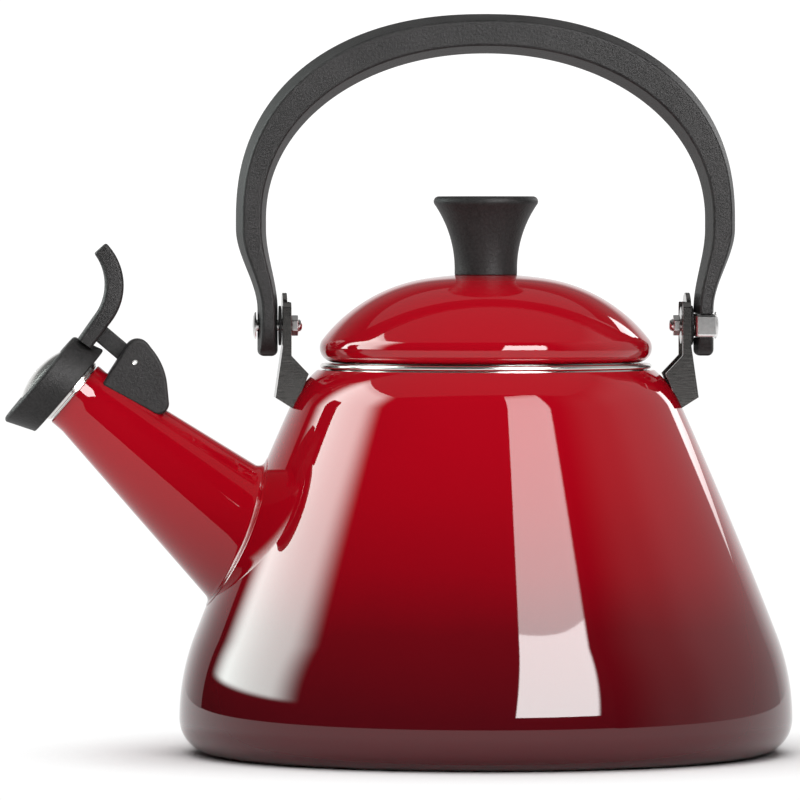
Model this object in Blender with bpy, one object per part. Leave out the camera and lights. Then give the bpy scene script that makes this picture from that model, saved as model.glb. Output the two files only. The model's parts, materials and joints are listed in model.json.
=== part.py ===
"""A stovetop whistling kettle: enamelled body with a fold-down bail handle, a lift-off lid
and a hinged whistle on the spout. Metres, +Z up, the spout points along -X and the base
rests on Z = 0. Every sub-part is its own object."""

import math

import bmesh
import bpy
from mathutils import Matrix, Vector

# ---- clearances --------------------------------------------------------------------
GAP = 0.0003              # between faces that touch on the real kettle
LID_FIT = 0.0018          # lid skirt inside the rim ring
ARM_FIT = 0.0005          # whistle arm inside the hinge block, each side
OVERRUN = 0.0050          # cutters run on this far past what they cut
SINK = 0.0015             # how far a bracket's foot starts inside the body, before it is cut

# ---- body --------------------------------------------------------------------------
BODY_RADIUS = 0.1010      # at the widest, just above the base
BODY_WALL = 0.0018
BASE_CORNER = 0.0115      # radius of the edge under the belly
BELLY_RADIUS = 0.0763     # arc from the widest point into the side
BELLY_TURN = 21.25        # degrees that the belly arc turns
SIDE_RADIUS = 1.624       # the side is very slightly domed
SIDE_TURN = 2.888
SHOULDER_RADIUS = 0.0320
SHOULDER_TURN = 26.0
MOUTH_FLANGE = 0.0025     # the shell turns in this far at the mouth
MOUTH_CROWN = 0.0001      # and rises this much
BODY_SEGMENTS = 64

# ---- rim ring ----------------------------------------------------------------------
RIM_BEAD = 0.0009         # radius of the rolled bead
RIM_BEAD_OUT = 0.0006     # its centre, outside the shell's edge
RIM_SLEEVE = 0.0007       # its thickness inside the mouth
RIM_DEPTH = 0.0075        # how far it reaches down into the mouth

# ---- lid ---------------------------------------------------------------------------
LID_CROWN_TURN = 8.9      # degrees; the crown's radius follows from the mouth
LID_DOME_RADIUS = 0.0533
LID_DOME_TURN = 43.2
LID_EDGE_RADIUS = 0.00473
LID_EDGE_TURN = 118.0
LID_WALL = 0.0014
SKIRT_WALL = 0.0010
SKIRT_DEPTH = 0.0095      # below the lid's edge
SKIRT_FLANGE = 0.0055     # inward flange that holds the skirt in the lid

# ---- lid knob ----------------------------------------------------------------------
KNOB_HEIGHT = 0.0256
KNOB_FOOT_RADIUS = 0.0103
KNOB_TOP_RADIUS = 0.0172
KNOB_FLARE_RADIUS = 0.0354
KNOB_RIM = 0.0016         # half the thickness of the rolled top edge
KNOB_DISH = 0.0012
SCREW_RADIUS = 0.0020
SCREW_HEAD_RADIUS = 0.0040
SCREW_HEAD_HEIGHT = 0.0022
SCREW_REACH = 0.0120      # up into the knob
WASHER_RADIUS = 0.0065
WASHER_THICKNESS = 0.0010

# ---- spout -------------------------------------------------------------------------
SPOUT_ANGLE = 40.3        # degrees above the horizontal
SPOUT_FOOT_HEIGHT = 0.0733    # where its axis meets the body
SPOUT_LENGTH = 0.0699
SPOUT_MOUTH_RADIUS = 0.0120
SPOUT_LIP = 0.0048        # straight length behind the mouth
SPOUT_TAPER = 8.7         # half angle of the cone behind it
SPOUT_WALL = 0.0015
SPOUT_ROOT = 0.0265       # the cone goes on this far into the body before it is cut
COLLAR_HEIGHT = 0.0029    # bright collar at the mouth
COLLAR_DEPTH = 0.0060     # its sleeve inside the spout
COLLAR_WALL = 0.0008
COLLAR_EDGE = 0.0004
SPOUT_SEGMENTS = 40

# ---- whistle -----------------------------------------------------------------------
CAP_THICKNESS = 0.0105
CAP_BACK_RADIUS = 0.0175
CAP_FRONT_RADIUS = 0.0180
CAP_BACK_DROP = 0.0006    # the cap's faces lie off the spout's axis, downwards
CAP_FRONT_DROP = 0.0035
CAP_EDGE = 0.0007
CAP_OVERLAP = 0.0014      # the cap's rim reaches back over the collar
CAP_OVERLAP_FIT = 0.0009  # with this room round it
WHISTLE_DROP = 0.0024     # centre line of the whistle chamber
CHAMBER_LIP = 0.0011      # lip that holds the front disc
DISC_RIM = 0.0012         # flat rim of the domed disc
DISC_THICKNESS = 0.0008
DISC_SET_BACK = 0.0013    # rear disc, ahead of the collar
DOME_RADIUS = 0.0101
DOME_HEIGHT = 0.0022
WHISTLE_HOLE = 0.0014
PIN_BACK = 0.0085         # hinge pin, back along the spout from its mouth
PIN_OUT = 0.0206          # and out from the spout's axis
PIN_RADIUS = 0.0013
PIN_BORE = 0.0006
PIN_HOLE = 0.0009         # narrower hole in the block at each end of the pin
PIN_HALF_LENGTH = 0.0076
ARM_HEIGHT = 0.0059
ARM_WIDTH = 0.0070
WHISTLE_OPEN = 65.0       # degrees that the cap swings up
SLOT_SPARE = 3.0          # degrees that the slot leaves beyond that
LEVER_START = 0.0081      # ahead of the mouth
LEVER_FOOT_OUT = 0.0146
LEVER_STRAIGHT = 0.0107
LEVER_RADIUS = 0.0180
LEVER_LEAN = 53.9         # degrees from horizontal at its foot
LEVER_TURN = 78.0
LEVER_THICKNESS = 0.0052
LEVER_SWELL = 0.0009      # thicker than that halfway along
LEVER_WIDTH = 0.0200
LEVER_TIP_WIDTH = 0.0160

# ---- hinge block -------------------------------------------------------------------
BLOCK_HALF_WIDTH = 0.0090
BLOCK_EDGE = 0.0010
# Corners in the spout's frame, back and out from the pin, each with its rounding.
BLOCK_CORNERS = (
    (-0.0037, -0.0128, 0.0010),
    (0.0218, -0.0076, 0.0036),
    (0.0083, 0.0055, 0.0215),
    (-0.0065, 0.0087, 0.0042),
)
LUG_THICKNESS = 0.0015
LUG_BACK = (0.0060, 0.0100)   # back from the pin, where the lug starts and ends
LUG_HEIGHT = 0.0075

# ---- handle ------------------------------------------------------------------------
PIVOT_RISE = 0.0124       # pivots above the rim ring
ARCH_SPRING = 0.0351      # the arch starts this far above the pivots
ARCH_SPREAD = 0.0071      # and this far outside the legs
ARCH_SIDE_THICKNESS = 0.0100
ARCH_TOP_THICKNESS = 0.0131
ARCH_RISE = 0.0674        # outer curve above its start
ARCH_OUTER_POWER = 2.25   # 2 is an ellipse, more is squarer
ARCH_INNER_POWER = 2.05
LEG_THICKNESS = 0.0067
LEG_BEND = (0.0053, 0.0318)   # heights above the pivot between which a leg turns in
HANDLE_HALF_DEPTH = 0.0100
DRAFT_SHARE = 0.19        # share of the thickness that each edge slopes in by
FOOT_ROUND = 0.0020       # radius at the foot of each leg
HANDLE_EDGE = 0.0008
ARCH_SECTIONS = 40
LEG_SECTIONS = 9
FOOT_SECTIONS = 5

# ---- pivots ------------------------------------------------------------------------
BOLT_RADIUS = 0.0020
BOLT_HEAD_RADIUS = 0.0045
BOLT_HEAD_HEIGHT = 0.0011
BOLT_END = 0.0013         # beyond the nut
PAD_RADIUS = 0.0065
PAD_THICKNESS = 0.0008
SPACER_RADIUS = 0.0036
SPACER_THICKNESS = 0.0008
BRACKET_WALL = 0.0015
BRACKET_HALF_WIDTH = 0.0090
BRACKET_TOP_RADIUS = 0.0108
BRACKET_TOP_ARC = (32, 148)   # degrees of the web's round top
BRACKET_STANDOFF = 0.0023 # the web outside the body, at the pivot
BRACKET_FOOT = 0.0275     # lowest corner of the flanges, below the pivot
BRACKET_WEB_FOOT = 0.0236 # lower end of the web, below the pivot
BRACKET_KNEE = 0.0098     # below this the side flanges widen towards the body
BRACKET_TIP = 0.0158      # flange corner nearest the rim, below the pivot
BRACKET_TIP_CLEAR = 0.0018    # and how far outside the body it is
BRACKET_LEAN = 0.0024     # the web leans out this far from the pad to its foot
BRACKET_RETURN = 0.0020   # depth of the flanges above the knee
DETENT_RADIUS = 0.0061
DETENT_THICKNESS = 0.0010
NUT_HALF_FLATS = 0.0030
NUT_HEIGHT = 0.0022
CLIP_WALL = 0.0008
CLIP_HALF_HEIGHT = 0.0038

# ---- directions --------------------------------------------------------------------
SPOUT_RISE = math.radians(SPOUT_ANGLE)
AHEAD = Vector((-math.cos(SPOUT_RISE), 0.0, math.sin(SPOUT_RISE)))   # out of the mouth
OUTWARD = Vector((math.sin(SPOUT_RISE), 0.0, math.cos(SPOUT_RISE)))  # up from the spout
CAP_BACK = COLLAR_HEIGHT + GAP - CAP_OVERLAP   # distances ahead of the spout's mouth
CAP_FRONT = CAP_BACK + CAP_THICKNESS


# ---- shapes ------------------------------------------------------------------------
def arc(centre, radius, start, end, steps):
    """Points on an arc, angles in degrees from +X towards +Z, both ends included."""
    angles = [math.radians(start + (end - start) * i / steps) for i in range(steps + 1)]
    return [(centre[0] + radius * math.cos(a), centre[1] + radius * math.sin(a)) for a in angles]


def rounded(corners, steps=6):
    """A closed outline with each corner (x, z, radius) rounded."""
    outline = []
    for i, (x, z, radius) in enumerate(corners):
        here = Vector((x, z))
        before = (Vector(corners[i - 1][:2]) - here).normalized()
        after = (Vector(corners[(i + 1) % len(corners)][:2]) - here).normalized()
        half = before.angle(after) / 2
        centre = here + (before + after).normalized() * radius / math.sin(half)
        first = here + before * radius / math.tan(half) - centre
        last = here + after * radius / math.tan(half) - centre
        for k in range(steps + 1):
            ray = first.lerp(last, k / steps).normalized() * radius
            outline.append((centre.x + ray.x, centre.y + ray.y))
    return outline


def finish(name, bm, material, crease=35.0):
    """Turns a bmesh into an object with outward faces and smooth round surfaces."""
    bmesh.ops.remove_doubles(bm, verts=bm.verts, dist=1e-7)
    bmesh.ops.recalc_face_normals(bm, faces=bm.faces)
    mesh = bpy.data.meshes.new(name)
    bm.to_mesh(mesh)
    bm.free()
    mesh.shade_smooth()
    mesh.set_sharp_from_angle(angle=math.radians(crease))
    obj = bpy.data.objects.new(name, mesh)
    bpy.context.scene.collection.objects.link(obj)
    if material:
        mesh.materials.append(material)
    return obj


def loft(name, sections, material=None):
    """Joins sections of equal point count and caps both ends."""
    bm = bmesh.new()
    rings = [[bm.verts.new(point) for point in section] for section in sections]
    count = len(rings[0])
    for ring, following in zip(rings, rings[1:]):
        for i in range(count):
            j = (i + 1) % count
            bm.faces.new((ring[i], ring[j], following[j], following[i]))
    bm.faces.new(rings[0])
    bm.faces.new(rings[-1])
    return finish(name, bm, material)


def turned(name, profile, segments, material=None, at=Vector((0, 0, 0)), axis=Vector((0, 0, 1))):
    """Turns a closed profile of (radius, height) round an axis; radius 0 is on the axis."""
    across = axis.orthogonal().normalized() if abs(axis.z) < 0.999 else Vector((1, 0, 0))
    beside = axis.cross(across).normalized()
    bm = bmesh.new()
    rings = []
    for radius, height in profile:
        centre = at + axis * height
        if radius == 0.0:
            rings.append([bm.verts.new(centre)])
            continue
        turns = [2 * math.pi * i / segments for i in range(segments)]
        rings.append([
            bm.verts.new(centre + (across * math.cos(t) + beside * math.sin(t)) * radius)
            for t in turns
        ])
    for ring, following in zip(rings, rings[1:] + rings[:1]):
        for i in range(segments):
            j = (i + 1) % segments
            a, b = ring[i % len(ring)], ring[j % len(ring)]
            c, d = following[j % len(following)], following[i % len(following)]
            corners = list(dict.fromkeys((a, b, c, d)))
            if len(corners) > 2:
                bm.faces.new(corners)
    return finish(name, bm, material)


def ring(name, inner, outer, low, high, segments, material=None, at=Vector((0, 0, 0)),
         axis=Vector((0, 0, 1))):
    """A flat ring, or a disc where the inner radius is 0."""
    profile = [(outer, low), (outer, high), (inner, high), (inner, low)]
    return turned(name, profile, segments, material, at, axis)


def extruded(name, outline, low, high, axis, material=None):
    """Extrudes an outline of (x, z) along Y, or of (y, z) along X, from low to high."""
    if axis == "Y":
        sections = [[(x, y, z) for x, z in outline] for y in (low, high)]
    else:
        sections = [[(x, y, z) for y, z in outline] for x in (low, high)]
    return loft(name, sections, material)


def box(name, low, high, material=None):
    corners = [(low[0], low[2]), (high[0], low[2]), (high[0], high[2]), (low[0], high[2])]
    return extruded(name, corners, low[1], high[1], "Y", material)


def boolean(obj, other, operation):
    """Adds a Boolean and hides its helper from the render."""
    modifier = obj.modifiers.new(other.name, "BOOLEAN")
    modifier.object = other
    modifier.operation = operation
    modifier.solver = "EXACT"
    other.hide_render = True
    other.display_type = "WIRE"


def cut(obj, *cutters):
    for cutter in cutters:
        boolean(obj, cutter, "DIFFERENCE")


def rounded_edges(obj, width, segments=2, angle=40.0):
    modifier = obj.modifiers.new("edges", "BEVEL")
    modifier.width = width
    modifier.segments = segments
    modifier.limit_method = "ANGLE"
    modifier.angle_limit = math.radians(angle)
    modifier.use_clamp_overlap = True


def make_material(name, colour, roughness, metallic=0.0):
    material = bpy.data.materials.new(name)
    material.use_nodes = True
    shader = material.node_tree.nodes["Principled BSDF"]
    shader.inputs["Base Color"].default_value = (*colour, 1.0)
    shader.inputs["Roughness"].default_value = roughness
    shader.inputs["Metallic"].default_value = metallic
    return material


# ---- body --------------------------------------------------------------------------
def body_outline(offset=0.0):
    """The outer outline from the base to the mouth, moved outwards by offset."""
    low = (BODY_RADIUS - BASE_CORNER, BASE_CORNER)
    points = arc(low, BASE_CORNER + offset, -90, 0, 5)
    belly = (BODY_RADIUS - BELLY_RADIUS, BASE_CORNER)
    points += arc(belly, BELLY_RADIUS + offset, 0, BELLY_TURN, 5)[1:]
    lean = math.radians(BELLY_TURN)
    reach = BELLY_RADIUS - SIDE_RADIUS
    side = (belly[0] + reach * math.cos(lean), belly[1] + reach * math.sin(lean))
    points += arc(side, SIDE_RADIUS + offset, BELLY_TURN, BELLY_TURN + SIDE_TURN, 2)[1:]
    lean = math.radians(BELLY_TURN + SIDE_TURN)
    reach = SIDE_RADIUS - SHOULDER_RADIUS
    shoulder = (side[0] + reach * math.cos(lean), side[1] + reach * math.sin(lean))
    start = BELLY_TURN + SIDE_TURN
    points += arc(shoulder, SHOULDER_RADIUS + offset, start, start + SHOULDER_TURN, 5)[1:]
    return points


def body_radius_at(height):
    """Outer radius of the body's side at a height."""
    outline = body_outline()
    for (r0, z0), (r1, z1) in zip(outline, outline[1:]):
        if z0 <= height <= z1:
            return r0 + (r1 - r0) * (height - z0) / (z1 - z0)
    return outline[-1][0]


MOUTH_RADIUS = body_outline()[-1][0] - MOUTH_FLANGE
MOUTH_TOP = body_outline()[-1][1] + MOUTH_CROWN
RIM_BASE = MOUTH_TOP + GAP
RIM_TOP = RIM_BASE + 2 * RIM_BEAD
RIM_INNER = MOUTH_RADIUS - GAP - RIM_SLEEVE
SPOUT_FOOT = Vector((-body_radius_at(SPOUT_FOOT_HEIGHT), 0.0, SPOUT_FOOT_HEIGHT))
MOUTH_AT = SPOUT_FOOT + AHEAD * SPOUT_LENGTH
SPOUT_REACH = SPOUT_LENGTH + SPOUT_ROOT
PIVOT_HEIGHT = RIM_TOP + PIVOT_RISE
WEB_OUTER = body_radius_at(PIVOT_HEIGHT - BRACKET_FOOT) + BRACKET_STANDOFF
LEAN_TOP = PIVOT_HEIGHT - PAD_RADIUS - GAP
LEG_INNER = WEB_OUTER + GAP + PAD_THICKNESS + GAP
LEG_OUTER = LEG_INNER + LEG_THICKNESS


def spout_point(ahead, outward, side=0.0):
    """A point in the spout's frame, measured from the centre of its mouth."""
    return MOUTH_AT + AHEAD * ahead + OUTWARD * outward + Vector((0.0, side, 0.0))


def body_envelope(name):
    """The body's outer shape with the usual gap round it, for cutting what stands on it."""
    outline = body_outline(GAP)
    return turned(name, [(0.0, -GAP), *outline, (0.0, outline[-1][1])], BODY_SEGMENTS)


def spout_radius(back):
    """Outer radius of the spout at a distance back from its mouth."""
    return SPOUT_MOUTH_RADIUS + math.tan(math.radians(SPOUT_TAPER)) * max(back - SPOUT_LIP, 0.0)


def spout_cone(name, offset, start, end, segments=SPOUT_SEGMENTS):
    """The spout's cone, moved outwards by offset, between two distances back from its mouth."""
    stations = sorted({start, max(start, SPOUT_LIP), end})
    outline = [(spout_radius(back) + offset, -back) for back in stations]
    profile = [(0.0, -start), *outline, (0.0, -end)]
    return turned(name, profile, segments, None, MOUTH_AT, AHEAD)


def make_body(enamel):
    outer = body_outline()
    inner = body_outline(-BODY_WALL)
    flange = [(MOUTH_RADIUS, MOUTH_TOP), (MOUTH_RADIUS, MOUTH_TOP - BODY_WALL)]
    profile = [(0.0, 0.0), *outer, *flange, *reversed(inner), (0.0, BODY_WALL)]
    body = turned("body_shell", profile, BODY_SEGMENTS, enamel)
    cut(body, spout_cone("spout_port", -SPOUT_WALL, 0.4 * SPOUT_REACH, SPOUT_REACH))
    return body


def make_rim_ring(steel):
    """A bead rolled over the mouth's edge, with a sleeve down inside it."""
    bead = (MOUTH_RADIUS + RIM_BEAD_OUT, RIM_BASE + RIM_BEAD)
    top = arc(bead, RIM_BEAD, 90, -90, 6)
    outer = MOUTH_RADIUS - GAP
    sleeve = [(outer, RIM_BASE), (outer, MOUTH_TOP - RIM_DEPTH), (RIM_INNER, MOUTH_TOP - RIM_DEPTH)]
    return turned("rim_ring", [*top, *sleeve, (RIM_INNER, RIM_TOP)], BODY_SEGMENTS, steel)


def make_spout(enamel):
    spout = spout_cone("spout", 0.0, 0.0, SPOUT_REACH)
    spout.data.materials.append(enamel)
    cut(spout, body_envelope("spout_foot_cut"))
    cut(spout, spout_cone("spout_bore", -SPOUT_WALL, -OVERRUN, SPOUT_REACH + OVERRUN))
    return spout


def make_spout_collar(steel):
    bore = SPOUT_MOUTH_RADIUS - SPOUT_WALL
    sleeve = bore - GAP
    profile = [
        (SPOUT_MOUTH_RADIUS - COLLAR_EDGE, COLLAR_HEIGHT),
        (SPOUT_MOUTH_RADIUS, COLLAR_HEIGHT - COLLAR_EDGE),
        (SPOUT_MOUTH_RADIUS, GAP), (sleeve, GAP), (sleeve, -COLLAR_DEPTH),
        (sleeve - COLLAR_WALL, -COLLAR_DEPTH), (sleeve - COLLAR_WALL, COLLAR_HEIGHT),
    ]
    return turned("spout_collar", profile, SPOUT_SEGMENTS, steel, MOUTH_AT, AHEAD)


# ---- lid ---------------------------------------------------------------------------
LID_EDGE_END = LID_CROWN_TURN + LID_DOME_TURN + LID_EDGE_TURN
SKIRT_OUTER = RIM_INNER - LID_FIT
LID_ROLL_REACH = (LID_EDGE_RADIUS - LID_WALL) * math.sin(math.radians(LID_EDGE_END))
LID_EDGE_CENTRE = SKIRT_OUTER + GAP - LID_ROLL_REACH


def lid_crown_radius():
    """The crown's radius that brings the rolled edge out to the skirt."""
    dome_end = math.radians(LID_CROWN_TURN + LID_DOME_TURN)
    dome_reach = (LID_DOME_RADIUS - LID_EDGE_RADIUS) * math.sin(dome_end)
    crown_reach = LID_EDGE_CENTRE - dome_reach
    return LID_DOME_RADIUS + crown_reach / math.sin(math.radians(LID_CROWN_TURN))


def lid_top():
    """Height of the lid's crown, from its rolled edge just above the rim ring."""
    crown = math.radians(LID_CROWN_TURN)
    dome_end = math.radians(LID_CROWN_TURN + LID_DOME_TURN)
    rise = lid_crown_radius() - (lid_crown_radius() - LID_DOME_RADIUS) * math.cos(crown)
    rise -= (LID_DOME_RADIUS - LID_EDGE_RADIUS) * math.cos(dome_end)
    return RIM_TOP + GAP + LID_EDGE_RADIUS + rise


LID_TOP = lid_top()


def lid_outline(offset=0.0):
    """The lid's outline from its centre out and round its rolled edge."""
    turns = (LID_CROWN_TURN, LID_DOME_TURN, LID_EDGE_TURN)
    radii = (lid_crown_radius(), LID_DOME_RADIUS, LID_EDGE_RADIUS)
    centre = Vector((0.0, LID_TOP - radii[0]))
    angle, points = 90.0, []
    for radius, turn, steps, following in zip(radii, turns, (2, 5, 6), (*radii[1:], 0.0)):
        points += arc(centre, radius + offset, angle, angle - turn, steps)[bool(points):]
        angle -= turn
        lean = Vector((math.cos(math.radians(angle)), math.sin(math.radians(angle))))
        centre = centre + lean * (radius - following)
    return points


def make_lid_shell(enamel):
    bore = SCREW_RADIUS + GAP
    outer, inner = lid_outline()[1:], lid_outline(-LID_WALL)[1:]
    profile = [(bore, LID_TOP), *outer, *reversed(inner), (bore, LID_TOP - LID_WALL)]
    return turned("lid_shell", profile, BODY_SEGMENTS, enamel)


def lid_height(radius, offset=0.0):
    """Height of the lid's face, moved outwards by offset, at a radius on its dome."""
    face = lid_outline(offset)
    for (r0, z0), (r1, z1) in zip(face, face[1:]):
        if r0 <= radius <= r1:
            return z0 + (z1 - z0) * (radius - r0) / (r1 - r0)
    return face[0][1]


def make_lid_skirt(steel):
    """A ring that drops into the mouth, with an inward flange against the lid."""
    inner = SKIRT_OUTER - SKIRT_WALL
    flange = SKIRT_OUTER - SKIRT_FLANGE
    top = lid_height(SKIRT_OUTER, -LID_WALL) - GAP
    low = RIM_TOP + GAP - SKIRT_DEPTH
    ledge = top - SKIRT_WALL
    profile = [(SKIRT_OUTER, low), (SKIRT_OUTER, top), (flange, top), (flange, ledge),
               (inner, ledge), (inner, low)]
    return turned("lid_skirt", profile, BODY_SEGMENTS, steel)


def make_lid_knob(plastic):
    """A flared knob with a rolled top edge, on a screw from inside the lid."""
    foot = lid_height(KNOB_FOOT_RADIUS) + GAP
    top = foot + KNOB_HEIGHT
    bead = (KNOB_TOP_RADIUS - KNOB_RIM, top - KNOB_RIM)
    centre = (KNOB_FOOT_RADIUS + KNOB_FLARE_RADIUS, foot + KNOB_RIM)
    # The flare ends where it touches the bead from outside.
    across, up = centre[0] - bead[0], bead[1] - centre[1]
    end = math.degrees(math.atan2(up, across))
    flare = arc(centre, KNOB_FLARE_RADIUS, 180, 180 - end, 6)
    edge = arc(bead, KNOB_RIM, -end, 90, 5)
    dish = [(KNOB_TOP_RADIUS - 3 * KNOB_RIM, top - KNOB_DISH), (0.0, top - KNOB_DISH)]
    bore = SCREW_RADIUS + GAP
    under = LID_TOP + GAP
    socket = [(0.0, under + SCREW_REACH + GAP), (bore, under + SCREW_REACH + GAP), (bore, under)]
    profile = [*socket, (KNOB_FOOT_RADIUS, foot), *flare, *edge, *dish]
    return turned("lid_knob", profile, 32, plastic)


def make_knob_fixing(steel):
    """The screw that holds the knob and the washer under its head."""
    under = LID_TOP - LID_WALL - 2 * GAP
    bore = SCREW_RADIUS + GAP
    ring("lid_knob_washer", bore, WASHER_RADIUS, under - WASHER_THICKNESS, under, 24, steel)
    head = under - WASHER_THICKNESS - GAP
    profile = [
        (0.0, LID_TOP + GAP + SCREW_REACH), (0.0, head - SCREW_HEAD_HEIGHT),
        (0.6 * SCREW_HEAD_RADIUS, head - SCREW_HEAD_HEIGHT),
        (SCREW_HEAD_RADIUS, head - 0.4 * SCREW_HEAD_HEIGHT), (SCREW_HEAD_RADIUS, head),
        (SCREW_RADIUS, head), (SCREW_RADIUS, LID_TOP + GAP + SCREW_REACH),
    ]
    turned("lid_knob_screw", profile, 20, steel)


# ---- whistle -----------------------------------------------------------------------
PIN_AT = spout_point(-PIN_BACK, PIN_OUT)


def circle(ahead, drop, radius, segments):
    """A circle across the spout's axis, dropped below it."""
    turns = [2 * math.pi * i / segments for i in range(segments)]
    return [spout_point(ahead, radius * math.cos(t) - drop, radius * math.sin(t)) for t in turns]


def lever_path(steps=10):
    """Centre line of the thumb lever as (point, direction), from its foot to its tip."""
    lean = math.radians(LEVER_LEAN)
    point = spout_point(LEVER_START, LEVER_FOOT_OUT)
    along = Vector((math.cos(lean), 0.0, math.sin(lean)))
    path = [(point, along), (point + along * LEVER_STRAIGHT, along)]
    centre = path[-1][0] + Vector((-along.z, 0.0, along.x)) * LEVER_RADIUS
    for i in range(1, steps + 1):
        angle = lean + math.radians(LEVER_TURN) * i / steps
        along = Vector((math.cos(angle), 0.0, math.sin(angle)))
        path.append((centre + Vector((along.z, 0.0, -along.x)) * LEVER_RADIUS, along))
    return path


def make_lever():
    """The lever: a wide strip that thins and narrows towards its tip."""
    sections = []
    path = lever_path()
    for i, (point, along) in enumerate(path):
        share = i / (len(path) - 1)
        tip = 0.85 if i == len(path) - 1 else 1.0
        half = (LEVER_THICKNESS + LEVER_SWELL * math.sin(math.pi * share)) * tip / 2
        half_width = (LEVER_WIDTH + (LEVER_TIP_WIDTH - LEVER_WIDTH) * share ** 2) * tip / 2
        out = Vector((-along.z, 0.0, along.x)) * half
        side = Vector((0.0, half_width, 0.0))
        edge = Vector((0.0, half_width - 0.4 * half, 0.0))
        sections.append([
            point + out + edge, point + out * 0.5 + side, point - out * 0.5 + side,
            point - out + edge, point - out - edge, point - out * 0.5 - side,
            point + out * 0.5 - side, point + out - edge,
        ])
    return loft("lever", sections)


def make_arm():
    """The bar from the cap back to a round eye on the pin."""
    half = ARM_HEIGHT / 2
    eye = [(-PIN_BACK + x, PIN_OUT + z) for x, z in arc((0, 0), half, 270, 90, 8)]
    outline = [*eye, (LEVER_START, PIN_OUT + half), (LEVER_START, PIN_OUT - half)]
    sections = [
        [spout_point(ahead, out, side) for ahead, out in outline]
        for side in (-ARM_WIDTH / 2, ARM_WIDTH / 2)
    ]
    return loft("arm", sections)


def make_whistle_cap(plastic):
    """The cap, its arm and its thumb lever: one moulding, hollow for the whistle."""
    step = CAP_EDGE
    rims = (
        (CAP_BACK, CAP_BACK_DROP, CAP_BACK_RADIUS - step),
        (CAP_BACK + step, CAP_BACK_DROP, CAP_BACK_RADIUS),
        (CAP_FRONT - step, CAP_FRONT_DROP, CAP_FRONT_RADIUS),
        (CAP_FRONT, CAP_FRONT_DROP, CAP_FRONT_RADIUS - step),
    )
    cap = loft("whistle_cap", [circle(*rim, 48) for rim in rims], plastic)
    boolean(cap, make_lever(), "UNION")
    boolean(cap, make_arm(), "UNION")
    lip = CAP_FRONT - CHAMBER_LIP
    opening = DOME_RADIUS + GAP
    wide = DOME_RADIUS + DISC_RIM + GAP
    chamber = [
        (0.0, CAP_BACK - OVERRUN), (wide, CAP_BACK - OVERRUN), (wide, lip),
        (opening, lip), (opening, CAP_FRONT + OVERRUN), (0.0, CAP_FRONT + OVERRUN),
    ]
    at = MOUTH_AT - OUTWARD * WHISTLE_DROP
    cut(cap, turned("whistle_chamber", chamber, 40, None, at, AHEAD))
    recess = SPOUT_MOUTH_RADIUS + CAP_OVERLAP_FIT
    cut(cap, ring("collar_recess", 0.0, recess, CAP_BACK - OVERRUN, COLLAR_HEIGHT + GAP, 40, None,
                  MOUTH_AT, AHEAD))
    cut(cap, cross_pin("arm_bore", PIN_RADIUS + GAP, ARM_WIDTH))
    return cap


def cross_pin(name, radius, half_length, material=None):
    """A round bar along Y through the hinge pin's place."""
    profile = [(0.0, -half_length), (radius, -half_length), (radius, half_length),
               (0.0, half_length)]
    return turned(name, profile, 20, material, PIN_AT, Vector((0, 1, 0)))


def make_whistle_discs(steel):
    """The domed front disc, held by the cap's lip, and the flat disc behind it."""
    at = MOUTH_AT - OUTWARD * WHISTLE_DROP
    rim = CAP_FRONT - CHAMBER_LIP - GAP
    sphere = (DOME_RADIUS ** 2 + DOME_HEIGHT ** 2) / (2 * DOME_HEIGHT)
    centre = (0.0, CAP_FRONT + DOME_HEIGHT - sphere)
    spread = math.degrees(math.asin(DOME_RADIUS / sphere))
    hole = math.degrees(math.asin(WHISTLE_HOLE / sphere))
    inner = DOME_RADIUS - DISC_THICKNESS
    edge = DOME_RADIUS + DISC_RIM
    outer_dome = arc(centre, sphere, 90 - spread, 90 - hole, 3)
    inner_dome = [(r * inner / DOME_RADIUS, z - DISC_THICKNESS) for r, z in outer_dome]
    inner_dome[-1] = (WHISTLE_HOLE, inner_dome[-1][1])
    back = rim - DISC_THICKNESS
    profile = [
        (edge, back), (edge, rim), (DOME_RADIUS, rim), *outer_dome,
        *reversed(inner_dome), (inner, back),
    ]
    turned("whistle_dome", profile, 32, steel, at, AHEAD)
    low = COLLAR_HEIGHT + DISC_SET_BACK
    high = low + DISC_THICKNESS
    ring("whistle_disc", WHISTLE_HOLE, edge, low, high, 32, steel, at, AHEAD)


# ---- hinge block -------------------------------------------------------------------
def pin_frame(back, out):
    """(x, z) of a point given back and out from the hinge pin."""
    point = spout_point(-PIN_BACK - back, PIN_OUT + out)
    return point.x, point.z


def make_hinge_block(plastic):
    """A saddle over the spout, slotted for the whistle's arm."""
    corners = [(*pin_frame(back, out), radius) for back, out, radius in BLOCK_CORNERS]
    block = extruded("hinge_block", rounded(corners), -BLOCK_HALF_WIDTH, BLOCK_HALF_WIDTH, "Y",
                     plastic)
    rounded_edges(block, BLOCK_EDGE)
    cut(block, spout_cone("spout_saddle", GAP, -OVERRUN, 0.8 * SPOUT_LENGTH))
    cut(block, make_arm_slot(), cross_pin("block_bore", PIN_RADIUS + GAP, PIN_HALF_LENGTH + GAP))
    cut(block, cross_pin("pin_hole", PIN_HOLE, BLOCK_HALF_WIDTH + OVERRUN))
    low, high = LUG_BACK
    half = LUG_THICKNESS / 2 + GAP
    cut(block, make_lug("lug_pocket", low - GAP, high + GAP, LUG_HEIGHT + GAP, half))
    return block


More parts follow.
